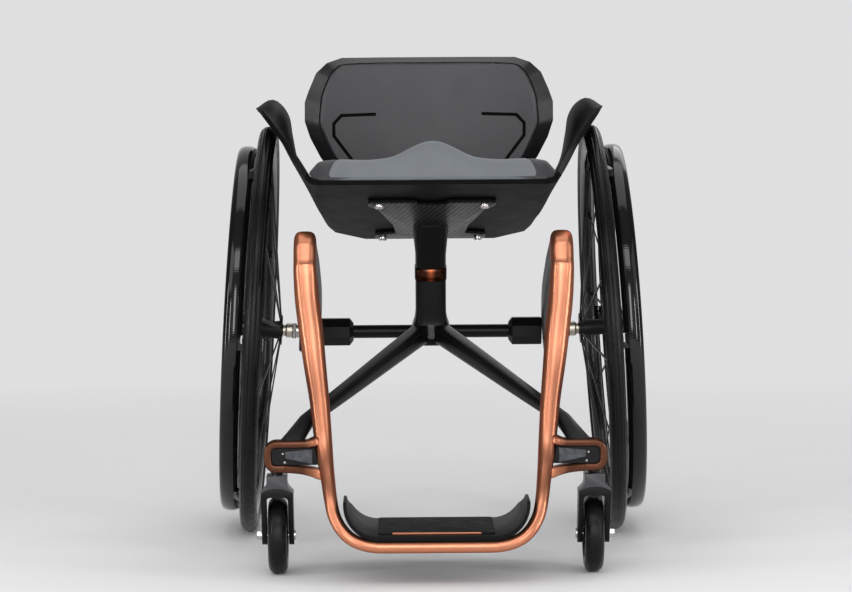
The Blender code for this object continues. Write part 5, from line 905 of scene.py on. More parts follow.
# Half of the copper tube, from the middle of the footrest bar up to the knee: X, Y, Z, width, depth
LEG_STATIONS = (
    (0.0000, -0.5520, 0.0505, 0.0156, 0.0260),
    (0.0700, -0.5520, 0.0506, 0.0156, 0.0260),
    (0.0815, -0.5517, 0.0513, 0.0157, 0.0259),
    (0.0920, -0.5510, 0.0530, 0.0158, 0.0258),
    (0.1030, -0.5492, 0.0566, 0.0160, 0.0257),
    (0.1130, -0.5463, 0.0620, 0.0162, 0.0255),
    (0.1213, -0.5425, 0.0695, 0.0164, 0.0254),
    (0.1280, -0.5372, 0.0785, 0.0166, 0.0252),
    (0.1332, -0.5318, 0.0890, 0.0168, 0.0251),
    (0.1362, -0.5265, 0.1000, 0.0170, 0.0250),
    (0.1388, -0.5160, 0.1140, 0.0175, 0.0256),
    (0.1408, -0.5030, 0.1270, 0.0182, 0.0262),
    (0.1445, -0.4775, 0.1500, 0.0205, 0.0285),
    (0.1483, -0.4560, 0.1800, 0.0238, 0.0310),
    (0.1532, -0.4350, 0.2300, 0.0262, 0.0340),
    (0.1592, -0.4180, 0.2760, 0.0298, 0.0365),
    (0.1645, -0.4040, 0.3220, 0.0325, 0.0390),
    (0.1695, -0.3920, 0.3610, 0.0326, 0.0402),
    (0.1718, -0.3834, 0.3930, 0.0316, 0.0408),
    (0.1725, -0.3812, 0.4045, 0.0305, 0.0410),
)
KNEE_X, KNEE_Y, KNEE_TOP = 0.1726, -0.3530, 0.4515
KNEE_BEND, KNEE_WIDTH, KNEE_DEPTH = 0.0280, 0.0302, 0.0410
KNEE_PANEL_SET, KNEE_PANEL_ANGLE, KNEE_SPLIT_LENGTH = 0.0032, math.radians(156.4), 0.0200
LEG_LEAN, ARM_FALL = math.radians(14.5), math.radians(20)
LOOP_OUTER_X, LOOP_BOTTOM, LOOP_TOP, LOOP_DEPTH, LOOP_BEND = 0.2262, 0.1392, 0.1808, 0.0340, 0.0113
LOOP_BARS = {"top": 0.0090, "end": 0.0098, "bottom": 0.0100}
LENS_SCREW_Y = -0.3408      # of the lens's front, in the frame
LENS_SCREWS = {"upper": (0.2012, 0.1646), "lower": (0.1988, 0.1531)}  # X and Z
# Where each bar runs into the leg: X, spread, Y from the stem, thickness, depth
LOOP_TOP_ROOT = (
    (0.1440, 0.0077, 0.0065, 0.0100, 0.0160), (0.1500, 0.0062, 0.0060, 0.0130, 0.0220),
    (0.1580, 0.0032, 0.0045, 0.0115, 0.0270), (0.1640, 0.0012, 0.0010, 0.0098, 0.0330),
    (0.1720, 0.0000, 0.0000, 0.0090, 0.0340),
)
LOOP_BOTTOM_ROOT = (
    (0.1980, 0.0000, 0.0000, 0.0100, 0.0340), (0.1850, 0.0006, -0.0030, 0.0100, 0.0340),
    (0.1700, 0.0020, -0.0090, 0.0102, 0.0320), (0.1580, 0.0042, -0.0170, 0.0115, 0.0280),
    (0.1500, 0.0066, -0.0230, 0.0130, 0.0220), (0.1430, 0.0085, -0.0270, 0.0100, 0.0160),
)


def knee_point(angle, radius):
    """Place on a circle round the knee's centre, as Y and Z."""
    centre_z = KNEE_TOP - KNEE_DEPTH / 2 - KNEE_BEND
    return KNEE_Y + radius * math.cos(angle), centre_z + radius * math.sin(angle)


def leg_squareness(height):
    """The leg's section is rounder low down and squarer at the knee."""
    return 2.8 + 0.8 * max(0.0, min(1.0, (height - 0.3600) / 0.0600))


def knee_rings():
    """Rings of the knee: a round bend, cut in front by a flat panel with a crease above it."""
    inner, outer = KNEE_BEND - KNEE_DEPTH / 2, KNEE_BEND + KNEE_DEPTH / 2
    start, end = math.pi - LEG_LEAN, math.pi / 2 - ARM_FALL
    crease = KNEE_PANEL_ANGLE - math.acos((outer - KNEE_PANEL_SET) / outer)
    angles = [start + (crease - start) * i / 5 for i in range(5)]
    angles += [crease + (end - crease) * i / 14 for i in range(15)]
    rings = []
    for angle in angles:
        facing = math.cos(angle - KNEE_PANEL_ANGLE)
        reach = min(outer, (outer - KNEE_PANEL_SET) / facing) if facing > 0 else outer
        radius, depth = (reach + inner) / 2, reach - inner
        section = oval(KNEE_WIDTH, depth, leg_squareness(knee_point(angle, radius)[1]))
        rings.append([Vector((KNEE_X + u, *knee_point(angle, radius + v))) for u, v in section])
    return rings


def split_ring(beyond=0.0):
    """Ring where the knee meets the side arm, moved on along the tube."""
    run = KNEE_SPLIT_LENGTH + beyond
    back, down = run * math.cos(ARM_FALL), run * math.sin(ARM_FALL)
    return [Vector((p.x, p.y + back, p.z - down)) for p in knee_rings()[-1]]


def loop_rows():
    """Stations of a caster loop's bar: out of the leg, round its outer end and back into the leg."""
    top, bottom = LOOP_TOP - LOOP_BARS["top"] / 2, LOOP_BOTTOM + LOOP_BARS["bottom"] / 2
    end_x, steps = LOOP_OUTER_X - LOOP_BARS["end"] / 2 - LOOP_BEND, 10
    rows = smooth([(x, CASTER_STEM_Y + y, top + spread, thick, depth)
                   for x, spread, y, thick, depth in LOOP_TOP_ROOT], 4)
    for z, turn, first, last in ((top - LOOP_BEND, 90, "top", "end"), (bottom + LOOP_BEND, 0, "end", "bottom")):
        for i, (x, height) in enumerate(arc((end_x, z), LOOP_BEND, turn, turn - 90, steps)):
            thick = LOOP_BARS[first] + (LOOP_BARS[last] - LOOP_BARS[first]) * i / steps
            rows.append((x, CASTER_STEM_Y, height, thick, LOOP_DEPTH))
    return rows + smooth([(x, CASTER_STEM_Y + y, bottom - spread, thick, depth)
                          for x, spread, y, thick, depth in LOOP_BOTTOM_ROOT], 4)


def front_frame_mesh():
    """One piece: footrest bar, two legs with their knees, and a caster loop on each side."""
    first = knee_rings()[0]
    ahead = sum(first, Vector()) / len(first)
    rows = [(*row, leg_squareness(row[2])) for row in LEG_STATIONS]
    rows.append((*ahead, KNEE_WIDTH, KNEE_DEPTH, leg_squareness(ahead.z)))
    rings = swept(smooth(rows, 4), (0, -1, 0))[:-4] + knee_rings() + [split_ring()]
    mesh = loft(mirrored_rings(list(reversed(rings[1:])), -1) + rings)
    loop = swept(loop_rows(), (0, -1, 0), rounded)
    for side in SIDES.values():
        mesh = union(mesh, loft(mirrored_rings(loop, side)))
    return mesh


def build_front():
    # The copper paint here carries painted shade on the caster loops.
    piece("front_loop_frame", front_frame_mesh(), "copper_paint", "chair_frame", "front_frame", angle=22)
    head = upright([(0.0, 0.0017), (0.0006, 0.0017), (0.0011, 0.0012)], 32)
    for name, side in SIDES.items():
        for place, (x, z) in LENS_SCREWS.items():
            spot = Matrix.Translation((side * x, LENS_SCREW_Y, z)) @ Matrix.Rotation(math.pi / 2, 4, "X")
            piece("lens_screw_" + place + "_" + name, head.copy(), "polished_steel", "chair_frame", (), spot)


# Side arms, axle tube and seat post

POST_LEAN = math.radians(8)
POST_WIDTH, POST_DEPTH, SPIGOT_WIDTH, SPIGOT_DEPTH = 0.0441, 0.0530, 0.0330, 0.0410
POST_JOINT, COLLAR_HEIGHT, SPIGOT_FOOT = 0.0790, 0.0175, 0.0230
POST = Matrix.Translation((0, 0, TUBE_HEIGHT)) @ Matrix.Rotation(POST_LEAN, 4, "X")
POST_FOOT_LEVELS = (
    (-0.0170, 0.0400, 0.0440), (-0.0120, 0.0520, 0.0560), (0.0080, 0.0540, 0.0580), (0.0200, 0.0470, 0.0540),
    (0.0320, POST_WIDTH, POST_DEPTH),
)
BOSS_RADIUS, BOSS_EDGE, BOSS_BORE = 0.0300, 0.0030, 0.0103
TUBE_RADIUS, TUBE_BORE = 0.0095, 0.0075
# Side arm from the knee to the axle: X, Y, Z, width, height
ARM_STATIONS = (
    (0.1715, -0.2600, 0.4000, 0.0320, 0.0430), (0.1708, -0.1600, 0.3565, 0.0325, 0.0455),
    (0.1725, -0.0750, 0.3160, 0.0305, 0.0470), (0.1755, -0.0200, 0.2950, 0.0280, 0.0440),
)
# Struts from the hub to the caster loops: X, Y, Z, depth, height, squareness
STRUT_STATIONS = (
    (0.0120, -0.0140, 0.2885, 0.0300, 0.0275, 3.5), (0.0550, -0.1180, 0.2650, 0.0270, 0.0250, 3.5),
    (0.1200, -0.2800, 0.2290, 0.0240, 0.0185, 3.5), (0.1700, -0.4040, 0.2020, 0.0230, 0.0130, 3.5),
)
STRUT_FOOT, STRUT_FOOT_SECTION = (0.1885, -0.4580), (0.0320, 0.0220, 3.5)
POST_SQUARENESS, POST_SIDES = 5.0, 56
INSERT_HALF_WIDTH, INSERT_HALF_HEIGHT, INSERT_RISE = 0.00505, 0.0103, 0.0006


def side_arm_mesh(side):
    """Black arm from the knee's split down to the boss that holds the axle sleeve."""
    rings = [split_ring(GAP)] + swept(smooth(ARM_STATIONS, 6), (0, 0, 1))
    lip = [(BOSS_EDGE * (1 - math.sin(math.pi / 2 * i / 4)),
            BOSS_RADIUS - BOSS_EDGE * (1 - math.cos(math.pi / 2 * i / 4))) for i in range(5)]
    profile = [(BOSS_INNER + x, r) for x, r in reversed(lip)] + [(BOSS_OUTER - x, r) for x, r in lip]
    place = wheel_place(side)
    hole = moved(drill(BOSS_INNER - CUT_PAST, BOSS_OUTER + CUT_PAST, BOSS_BORE), place)
    return subtract(union(loft(mirrored_rings(rings, side)), moved(spindle(profile, 96), place)), hole)


def post_ring(width, depth, level, shift=0.0):
    """One ring across the seat post, as points."""
    return [(x, y + shift, level) for x, y in oval(width, depth, POST_SQUARENESS, POST_SIDES)]


def base_frame_mesh():
    """The hub round the axle tube, the post's foot on it, and the two struts."""
    levels = smooth(POST_FOOT_LEVELS, 5) + [[POST_JOINT - 0.0006, POST_WIDTH, POST_DEPTH],
                                            [POST_JOINT, POST_WIDTH - 0.0012, POST_DEPTH - 0.0012]]
    mesh = moved(loft([post_ring(width, depth, level) for level, width, depth in levels]), POST)
    struts = swept(smooth(STRUT_STATIONS, 5), (0, 0, 1))
    struts.append([Vector((STRUT_FOOT[0] - u, STRUT_FOOT[1] - v, LOOP_TOP + GAP))
                   for u, v in oval(*STRUT_FOOT_SECTION)])
    for side in SIDES.values():
        mesh = union(mesh, loft(mirrored_rings(struts, side)))
    cavity = loft([post_ring(SPIGOT_WIDTH + 2 * GAP, SPIGOT_DEPTH + 2 * GAP, level)
                   for level in (SPIGOT_FOOT - 0.0030, POST_JOINT + 0.0030)])
    tunnel = moved(drill(-0.09, 0.09, TUBE_RADIUS + GAP), Matrix.Translation((0, 0, TUBE_HEIGHT)))
    corners = [(u * INSERT_HALF_WIDTH, TUBE_HEIGHT + INSERT_RISE + v * INSERT_HALF_HEIGHT)
               for u, v in ((-1, -1), (1, -1), (1, 1), (-1, 1))]
    pocket = prism(corners, -0.0367, -0.0254, "Y")
    return subtract(mesh, moved(cavity, POST), tunnel, pocket)


def collar_mesh():
    """Ring that clamps the seat post."""
    low, high, edge = POST_JOINT + GAP, POST_JOINT + GAP + COLLAR_HEIGHT, 0.0010
    outer, inner = (POST_WIDTH + 0.0020, POST_DEPTH + 0.0020), (SPIGOT_WIDTH + 2 * GAP, SPIGOT_DEPTH + 2 * GAP)
    drawn_in = (outer[0] - edge, outer[1] - edge)
    return loft([post_ring(*inner, low), post_ring(*drawn_in, low), post_ring(*outer, low + edge),
                 post_ring(*outer, high - edge), post_ring(*drawn_in, high), post_ring(*inner, high)], closed=True)


def seat_post_mesh():
    """Upper post: a spigot in the post's foot, and a head that spreads out under the plate."""
    normal = SEAT_PLANE.to_3x3() @ Vector((0, 0, 1))
    origin = SEAT_PLANE @ Vector((0, 0, -PLATE_THICKNESS - 2 * GAP))
    axis = POST.to_3x3() @ Vector((0, 0, 1))
    shoulder = POST_JOINT + 2 * GAP + COLLAR_HEIGHT
    spigot, post, edge = (SPIGOT_WIDTH, SPIGOT_DEPTH), (POST_WIDTH, POST_DEPTH), 0.0008
    rings = [post_ring(*spigot, SPIGOT_FOOT), post_ring(*spigot, shoulder),
             post_ring(POST_WIDTH - edge, POST_DEPTH - edge, shoulder), post_ring(*post, shoulder + edge),
             post_ring(*post, shoulder + 0.0180)]
    rings = [[POST @ Vector(point) for point in ring] for ring in rings]
    rim = []
    for point in post_ring(0.0500, 0.0780, 0, -0.0120):
        place = POST @ Vector(point)
        rim.append(place + axis * ((origin - place).dot(normal) / axis.dot(normal)))
    return loft(rings + [[point - axis * 0.0050 for point in rim], rim])


def build_chassis():
    clamp = WHEEL_HALF_TRACK + BOSS_INNER * math.cos(CAMBER) - BOSS_RADIUS * math.sin(CAMBER) - GAP
    half = clamp - 0.0020
    tube = turned([(-half, TUBE_RADIUS), (half, TUBE_RADIUS), (half, TUBE_BORE), (-half, TUBE_BORE)], 64)
    piece("rear_axle_tube", tube, "satin_black", "chair_frame", "axle_tube",
          CHAIR @ Matrix.Translation((0, 0, TUBE_HEIGHT)))
    piece("base_casting", base_frame_mesh(), "satin_black", "chair_frame", "base_frame", angle=30)
    # The collar's material carries a painted glint in its middle and painted shade at its sides.
    piece("post_clamp_ring", collar_mesh(), "collar_copper_painted_glint", "chair_frame", "post_collar", CHAIR @ POST, angle=30)
    piece("seat_column", seat_post_mesh(), "satin_black", "seat", "seat_post", angle=30)
    for name, side in SIDES.items():
        piece("side_beam_" + name, side_arm_mesh(side), "satin_black", "chair_frame", "side_arm_" + name, angle=30)


# Footrest

TRAY_HALF_WIDTH, TRAY_CORNER, TRAY_FLOOR, TRAY_WALL = 0.1212, 0.0470, 0.0070, 0.0042
TRAY_TOP, TRAY_REAR_TOP, TRAY_FRONT_Y, TRAY_REAR_Y = 0.1100, 0.0860, -0.5610, -0.3760
TRAY_BASE = 0.0505 + 0.0078 + GAP  # on the footrest bar
MAT_FRONT_Y, MAT_REAR_Y, MAT_HALF_WIDTH, MAT_CORNER, MAT_THICKNESS = -0.5440, -0.3860, 0.0760, 0.0060, 0.0018


def tray_mesh():
    """Smooth U whose sides are cut lower towards the rear."""
    bend = TRAY_CORNER - TRAY_FLOOR
    outside = [(TRAY_HALF_WIDTH, TRAY_TOP)]
    outside += arc((TRAY_HALF_WIDTH - TRAY_CORNER, TRAY_BASE + TRAY_CORNER), TRAY_CORNER, 0, -90, 20)
    inside = arc((TRAY_HALF_WIDTH - TRAY_WALL - bend, TRAY_BASE + TRAY_CORNER), bend, -90, 0, 20)
    inside += [(TRAY_HALF_WIDTH - TRAY_WALL, TRAY_TOP)]
    outline = outside + [(-x, z) for x, z in reversed(outside)] + [(-x, z) for x, z in reversed(inside)] + inside
    level, rear, above, past = TRAY_FRONT_Y + 0.0750, TRAY_REAR_Y - 0.0060, TRAY_TOP + CUT_PAST, CUT_PAST
    side_cut = [(level, above), (level, TRAY_TOP), (rear, TRAY_REAR_TOP),
                (TRAY_REAR_Y + past, TRAY_REAR_TOP - 0.0060 - past), (TRAY_REAR_Y + past, above)]
    front_cut = [(TRAY_FRONT_Y - past, above), (TRAY_FRONT_Y - past, TRAY_TOP - 0.0080 - past),
                 (TRAY_FRONT_Y + 0.0080, above)]
    tray = prism(outline, TRAY_FRONT_Y, TRAY_REAR_Y, "Y")
    half = TRAY_HALF_WIDTH + CUT_PAST
    tray = subtract(tray, prism(side_cut, -half, half, "X"), prism(front_cut, -half, half, "X"))
    return bevelled(tray, 0.0009, 3, 40)


def build_footrest():
    piece("foot_tray", tray_mesh(), "tray_coat", "chair_frame", "footplate")
    low = TRAY_BASE + TRAY_FLOOR + GAP
    outline = [(x, y + (MAT_FRONT_Y + MAT_REAR_Y) / 2)
               for x, y in rounded(2 * MAT_HALF_WIDTH, MAT_REAR_Y - MAT_FRONT_Y, MAT_CORNER, 6)]
    mat = bevelled(prism(outline, low, low + MAT_THICKNESS, "Z"), 0.0005, 2, 60)
    piece("foot_mat", mat, "grip_rubber", "chair_frame", "footplate_grip")


# Seat

SEAT_SLOPE = math.radians(12.5)
SEAT_FRONT_Y, SEAT_FRONT_Z = -0.3450, 0.5130
SEAT_HALF_WIDTH, PAN_THICKNESS, WALL_THICKNESS = 0.1540, 0.0042, 0.0065
PAN_FLAT_SHARE, PAN_REAR_RISE, PLATE_THICKNESS = 0.68, 0.0100, 0.0060
SEAT_PLANE = Matrix.Translation((0, SEAT_FRONT_Y, SEAT_FRONT_Z)) @ Matrix.Rotation(-SEAT_SLOPE, 4, "X")
PAN_COLUMNS = 8             # across the flat part of half the pan
GUARD_SWEEP, GUARD_SWEEP_FROM, GUARD_SWEEP_SPAN = 0.0400, 0.7, 0.3  # the last two as shares of the seat's length
GUARD_CORNER, GUARD_CORNER_REACH = 0.0230, 0.0330
LIP_DROP, LIP_REACH, LIP_TURNS = 0.0060, 0.0022, (90, 66, 42, 18)
BEAD_HEIGHT, BEAD_FADE = 0.0036, 12  # the bead runs out over this many points
# Y, then distance out from the pan's front corner and Z, from the pan's edge up the side wall to the rim
SHELL_STATIONS = (
    (-0.3450, (0.0000, 0.5130), (0.0055, 0.5135), (0.0102, 0.5147), (0.0136, 0.5163),
     (0.0158, 0.5184), (0.0175, 0.5205), (0.0187, 0.5227), (0.0195, 0.5247)),
    (-0.2800, (-0.0020, 0.4986), (0.0060, 0.5040), (0.0112, 0.5099), (0.0158, 0.5163),
     (0.0197, 0.5222), (0.0235, 0.5282), (0.0268, 0.5338), (0.0300, 0.5390)),
    (-0.2000, (-0.0035, 0.4809), (0.0055, 0.4893), (0.0150, 0.5017), (0.0230, 0.5140),
     (0.0300, 0.5254), (0.0362, 0.5370), (0.0418, 0.5482), (0.0470, 0.5590)),
    (-0.1050, (-0.0065, 0.4598), (0.0050, 0.4732), (0.0200, 0.4983), (0.0345, 0.5240),
     (0.0480, 0.5490), (0.0580, 0.5700), (0.0680, 0.5870), (0.0805, 0.5985)),
    (-0.0450, (-0.0095, 0.4465), (0.0035, 0.4620), (0.0215, 0.4960), (0.0400, 0.5335),
     (0.0520, 0.5665), (0.0600, 0.5945), (0.0730, 0.6110), (0.0905, 0.6080)),
    (0.0150, (-0.0120, 0.4332), (0.0020, 0.4545), (0.0225, 0.4950), (0.0440, 0.5365),
     (0.0530, 0.5740), (0.0600, 0.6020), (0.0745, 0.6195), (0.0945, 0.6075)),
    (0.0750, (-0.0150, 0.4199), (-0.0005, 0.4445), (0.0215, 0.4885), (0.0440, 0.5300),
     (0.0530, 0.5700), (0.0580, 0.5980), (0.0715, 0.6150), (0.0900, 0.6060)),
)
SEAT_LENGTH = SHELL_STATIONS[-1][0] - SEAT_FRONT_Y
SHELL_TABLE = smooth([[y] + [value for out, z in wall for value in (SEAT_HALF_WIDTH + out, z)]
                      for y, *wall in SHELL_STATIONS], 12)


def pan_height(y):
    """Height of the pan's underside at a distance along the chair."""
    return SEAT_FRONT_Z - (y - SEAT_FRONT_Y) * math.tan(SEAT_SLOPE)


def pan_edge_height(y):
    """Height of its corners, which rise towards the rear."""
    return pan_height(y) + PAN_REAR_RISE * (y - SEAT_FRONT_Y) / SEAT_LENGTH


def pan_top(y):
    """Height of the pan's upper side."""
    return pan_height(y) + PAN_THICKNESS / math.cos(SEAT_SLOPE) + GAP


def station_at(y):
    """Station of the shell nearest to a distance along the chair."""
    return min(SHELL_TABLE, key=lambda row: abs(row[0] - y))


def shell_rows():
    """Rows of the shell's outer surface, from the centre line out to the rim, with a rolled lip in front."""
    rows = []
    for y, half, _, *wall in SHELL_TABLE[::2]:
        share = (y - SEAT_FRONT_Y) / SEAT_LENGTH
        sweep = GUARD_SWEEP * max(0.0, share - GUARD_SWEEP_FROM) / GUARD_SWEEP_SPAN
        side = smooth([(half, pan_edge_height(y))] + list(zip(wall[::2], wall[1::2])), 5)
        row = [Vector((half * PAN_FLAT_SHARE * i / PAN_COLUMNS, y, pan_height(y))) for i in range(PAN_COLUMNS + 1)]
        row += [Vector((x, y + sweep * i / (len(side) - 1), z)) for i, (x, z) in enumerate(side)]
        rows.append(row)
    round_guard_corner(rows)
    rows.insert(1, [point.lerp(beyond, 0.3) for point, beyond in zip(rows[0], rows[1])])
    rows[0] = [point + Vector((0, 0, BEAD_HEIGHT * min(1.0, max(0, len(rows[0]) - i) / BEAD_FADE)))
               for i, point in enumerate(rows[0])]
    lip = []
    for turn in LIP_TURNS:
        drop = 1 - math.sin(math.radians(turn))
        reach = math.cos(math.radians(turn))
        row = []
        for i, point in enumerate(rows[0]):
            flat = 1 - 0.75 * max(0, i - PAN_COLUMNS) / (len(rows[0]) - PAN_COLUMNS - 1)
            row.append(point + Vector((0, -LIP_REACH * reach, -LIP_DROP * drop * flat)))
        lip.insert(0, row)
    return lip[:-1] + rows


def round_guard_corner(rows):
    """Draws the last rows in towards the rear-top corner of each guard."""
    last, reach = rows[-1], GUARD_CORNER_REACH
    for c, corner in enumerate(last):
        from_rim = sum((last[i + 1] - last[i]).length for i in range(c, len(last) - 1))
        if from_rim < GUARD_CORNER:
            pull = GUARD_CORNER - math.sqrt(GUARD_CORNER ** 2 - (GUARD_CORNER - from_rim) ** 2)
            start = corner.y - reach
            for row in rows:
                if row[c].y > start:
                    row[c].y = start + (row[c].y - start) * (reach - pull) / reach


def sheet(rows, thicknesses):
    """Closed shell: a grid of points and its copy, set in along the grid's own normals."""
    inner = []
    for r, row in enumerate(rows):
        before, after = rows[max(r - 1, 0)], rows[min(r + 1, len(rows) - 1)]
        inner.append([])
        for c, point in enumerate(row):
            across = row[min(c + 1, len(row) - 1)] - row[max(c - 1, 0)]
            inner[-1].append(point + across.cross(after[c] - before[c]).normalized() * thicknesses[c])
    return between_grids(rows, inner)


def seat_shell_mesh():
    """Bucket: the pan, and a side wall that rises to a domed guard over each rear wheel."""
    rows = [[Vector((-p.x, p.y, p.z)) for p in reversed(row[1:])] + row for row in shell_rows()]
    middle = 2 * PAN_COLUMNS + 3
    walls = (len(rows[0]) - middle) // 2
    thicknesses = [WALL_THICKNESS] * walls + [PAN_THICKNESS] * middle + [WALL_THICKNESS] * walls
    return bevelled(sheet(rows, thicknesses), 0.0013, 3, 60)


CUSHION_FRONT_Y, CUSHION_REAR_Y = -0.3405, 0.0500
CUSHION_HEIGHT, CUSHION_EDGE_HEIGHT, CUSHION_EDGE_RISE = 0.0360, 0.0070, 0.0150  # the edge rises to the rear
CUSHION_SEAM_X, SEAM_DEPTH, SEAM_MARGIN = 0.1275, 0.0014, 0.0022
CUSHION_CROWN, CUSHION_ROWS, CUSHION_COLUMNS = 0.0060, 64, 26
THIGH_TROUGH = (0.0040, 0.0850, 0.0550)  # depth, X of its middle, half width
FRONT_RIDGE = (0.0215, 0.2000, 0.0620)   # height, length, half width


def bump(x, half_width):
    """Smooth bell from 1 at the middle to 0 at its half width."""
    return 0.5 * (1 + math.cos(math.pi * x / half_width)) if abs(x) < half_width else 0.0


def inner_wall(y, height):
    """Half width inside the shell at a height above the pan's underside."""
    row = station_at(y)
    wall = smooth(list(zip(row[1::2], row[2::2])), 8)
    level = pan_height(y) + height
    return min(wall, key=lambda place: abs(place[1] - level))[0] - WALL_THICKNESS


def cushion_top(x, y, base, height, edge, swell):
    """Height of the cover, with its crown, the ridge in front and a trough for each thigh."""
    crown = CUSHION_CROWN * swell * (1 - (x / edge) ** 2)
    depth, middle, trough_half = THIGH_TROUGH
    trough = depth * swell * bump(abs(x) - middle, trough_half)
    rise, length, ridge_half = FRONT_RIDGE
    ridge = rise * swell * max(0.0, 1 - (y - CUSHION_FRONT_Y) / length) ** 0.6 * bump(x, ridge_half)
    return base + height * (1 - 0.06 * (abs(x) / edge) ** 8) + crown - trough + ridge


def cushion_mesh():
    """Crowned cushion: pale top panel, sewn to dark sides that run out to the shell."""
    rings = []
    for i in range(CUSHION_ROWS):
        share = (1 - math.cos(math.pi * i / (CUSHION_ROWS - 1))) / 2
        y = CUSHION_FRONT_Y + share * (CUSHION_REAR_Y - CUSHION_FRONT_Y)
        front, rear = min(1.0, (y - CUSHION_FRONT_Y) / 0.030), min(1.0, (CUSHION_REAR_Y - y) / 0.022)
        swell = (1 - (1 - front) ** 2) * (1 - (1 - rear) ** 2) ** 0.5
        base, half = pan_top(y), station_at(y)[1]
        edge_height = CUSHION_EDGE_HEIGHT + CUSHION_EDGE_RISE * share
        height = edge_height + (CUSHION_HEIGHT - edge_height) * swell
        foot = half - 0.0060
        waist = min(inner_wall(y, PAN_THICKNESS + height * 0.5) - 0.0030, foot + 0.0270)
        edge = min(waist - 0.0120 - 0.0060 * (1 - swell), 0.1560)
        seam = min(CUSHION_SEAM_X + 0.0150 * (1 - front), edge - 0.0050)
        corner = base + pan_edge_height(y) - pan_height(y)
        side = [(foot, corner), ((foot + waist) / 2 + 0.0030, corner + height * 0.20),
                (waist - 0.0004, base + height * 0.44), (waist, base + height * 0.52),
                (waist - 0.0015, base + height * 0.60), (edge, cushion_top(edge, y, base, height, edge, swell))]
        ring = [(0.0, y, base), (half * PAN_FLAT_SHARE, y, base)]
        ring += [(x, y, z) for x, z in smooth(side, 3)]
        places = [edge + (seam + SEAM_MARGIN - edge) * k / 4 for k in range(1, 5)] + [seam + 0.0008, seam - 0.0008]
        places += [(seam - SEAM_MARGIN) * (1 - k / CUSHION_COLUMNS) for k in range(CUSHION_COLUMNS + 1)]
        for x in places:
            groove = SEAM_DEPTH * swell * (abs(x - seam) < 0.001)
            ring.append((x, y, cushion_top(x, y, base, height, edge, swell) - groove))
        dark = len(ring) - CUSHION_COLUMNS - 2
        rings.append(ring + [(-x, y, z) for x, y, z in reversed(ring[1:-1])])
    mesh = loft(rings)
    count = len(rings[0])
    for face in mesh.polygons:
        along = [min(i % count, (count - i % count) % count) for i in face.vertices]
        face.material_index = int(len(along) == 4 and max(along) <= dark)
    return mesh


def build_cushion():
    mesh = cushion_mesh()
    cushion = piece("seat_cushion", mesh, "cushion_cover", "seat", "cushion", levels=1, angle=70)
    mesh.materials.append(looks["cushion_side"])


# Half of the plate, and its bolts: X and distance from the pan's front edge
PLATE_HALF = (
    (0.0, 0.1040), (0.0880, 0.1040), (0.0880, 0.1260), (0.0740, 0.1600), (0.0540, 0.2800), (0.0500, 0.3480),
    (0.0800, 0.3620), (0.0800, 0.3900), (0.0, 0.3900),
)
SEAT_BOLTS = {"front": (0.0730, 0.1150), "rear": (0.0690, 0.3770)}
PLATE_NOTCH_RADIUS = 0.0210


def plate_mesh():
    """Tapered plate with a round notch in front, in the pan's own plane."""
    plate = prism(mirrored_outline(PLATE_HALF), -PLATE_THICKNESS - GAP, -GAP, "Z")
    notch = upright([(-0.02, PLATE_NOTCH_RADIUS), (0.02, PLATE_NOTCH_RADIUS)], 64)
    notch = moved(notch, Matrix.Translation((0, PLATE_HALF[0][1], 0)))
    return bevelled(subtract(plate, notch), 0.0007, 3, 40)


def seat_bolt_mesh():
    """Bolt with a socket in its head, under the plate."""
    face = -PLATE_THICKNESS - 2 * GAP
    head = face - 0.0048
    rings = [ring_round("Z", head + 0.0020, 0.0032, 48, 6), ring_round("Z", head, 0.0034, 48, 6)]
    profile = ((head, 0.0052), (head + 0.0004, 0.0058), (head + 0.0010, 0.0062), (face, 0.0062), (face, 0.0035),
               (face + 0.0045, 0.0035))
    return loft(rings + [ring_round("Z", z, radius, 48) for z, radius in profile])


def build_seat():
    piece("bucket_shell", seat_shell_mesh(), "seat_plastic", "seat", "seat_shell", angle=40)
    build_cushion()
    piece("carbon_mount", plate_mesh(), "carbon_twill", "seat", "mount_plate", CHAIR @ SEAT_PLANE)
    for end, (x, distance) in SEAT_BOLTS.items():
        for name, side in SIDES.items():
            place = CHAIR @ SEAT_PLANE @ Matrix.Translation((side * x, distance, 0))
            piece("plate_screw_" + end + "_" + name, seat_bolt_mesh(), "polished_steel", "seat",
                  "seat_bolt_" + end + "_" + name, place)


# Back

BACK_OUTER = (
    (0.0000, 0.6870), (0.0640, 0.6870), (0.1280, 0.6865), (0.1500, 0.6790), (0.1660, 0.6640), (0.1770, 0.6380),
    (0.1828, 0.6210), (0.1828, 0.5930), (0.1750, 0.5690), (0.1600, 0.5400), (0.1420, 0.5160), (0.1200, 0.4960),
    (0.0600, 0.4840), (0.0000, 0.4840),
)
BACK_INNER = (
    (0.0000, 0.6790), (0.0620, 0.6790), (0.1230, 0.6770), (0.1390, 0.6690), (0.1480, 0.6560), (0.1570, 0.6330),
    (0.1600, 0.6130), (0.1610, 0.5890), (0.1530, 0.5660), (0.1400, 0.5400), (0.1240, 0.5190), (0.1060, 0.5030),
    (0.0540, 0.4930), (0.0000, 0.4930),
)
BACK_HALF_WIDTH, BACK_CENTRE_Z, BACK_Y, BACK_WRAP = 0.1828, 0.5900, 0.1000, 0.0420
BACK_LEAN, BACK_SHELL_THICKNESS, BACK_RECESS, BACK_LIP_SET = math.radians(6), 0.0060, 0.0085, 0.0110
HINGE_Y, HINGE_Z, HINGE_EAR_RADIUS, HINGE_BORE = 0.1230, 0.4700, 0.0105, 0.0044
LUG_TOP, LUG_NECK, LUG_WIDTH, LUG_REACH = 0.5450, 0.5000, 0.0120, 0.0042
BRACKET_X, BRACKET_WIDTH, BRACKET_THICKNESS = 0.0840, 0.0100, 0.0065
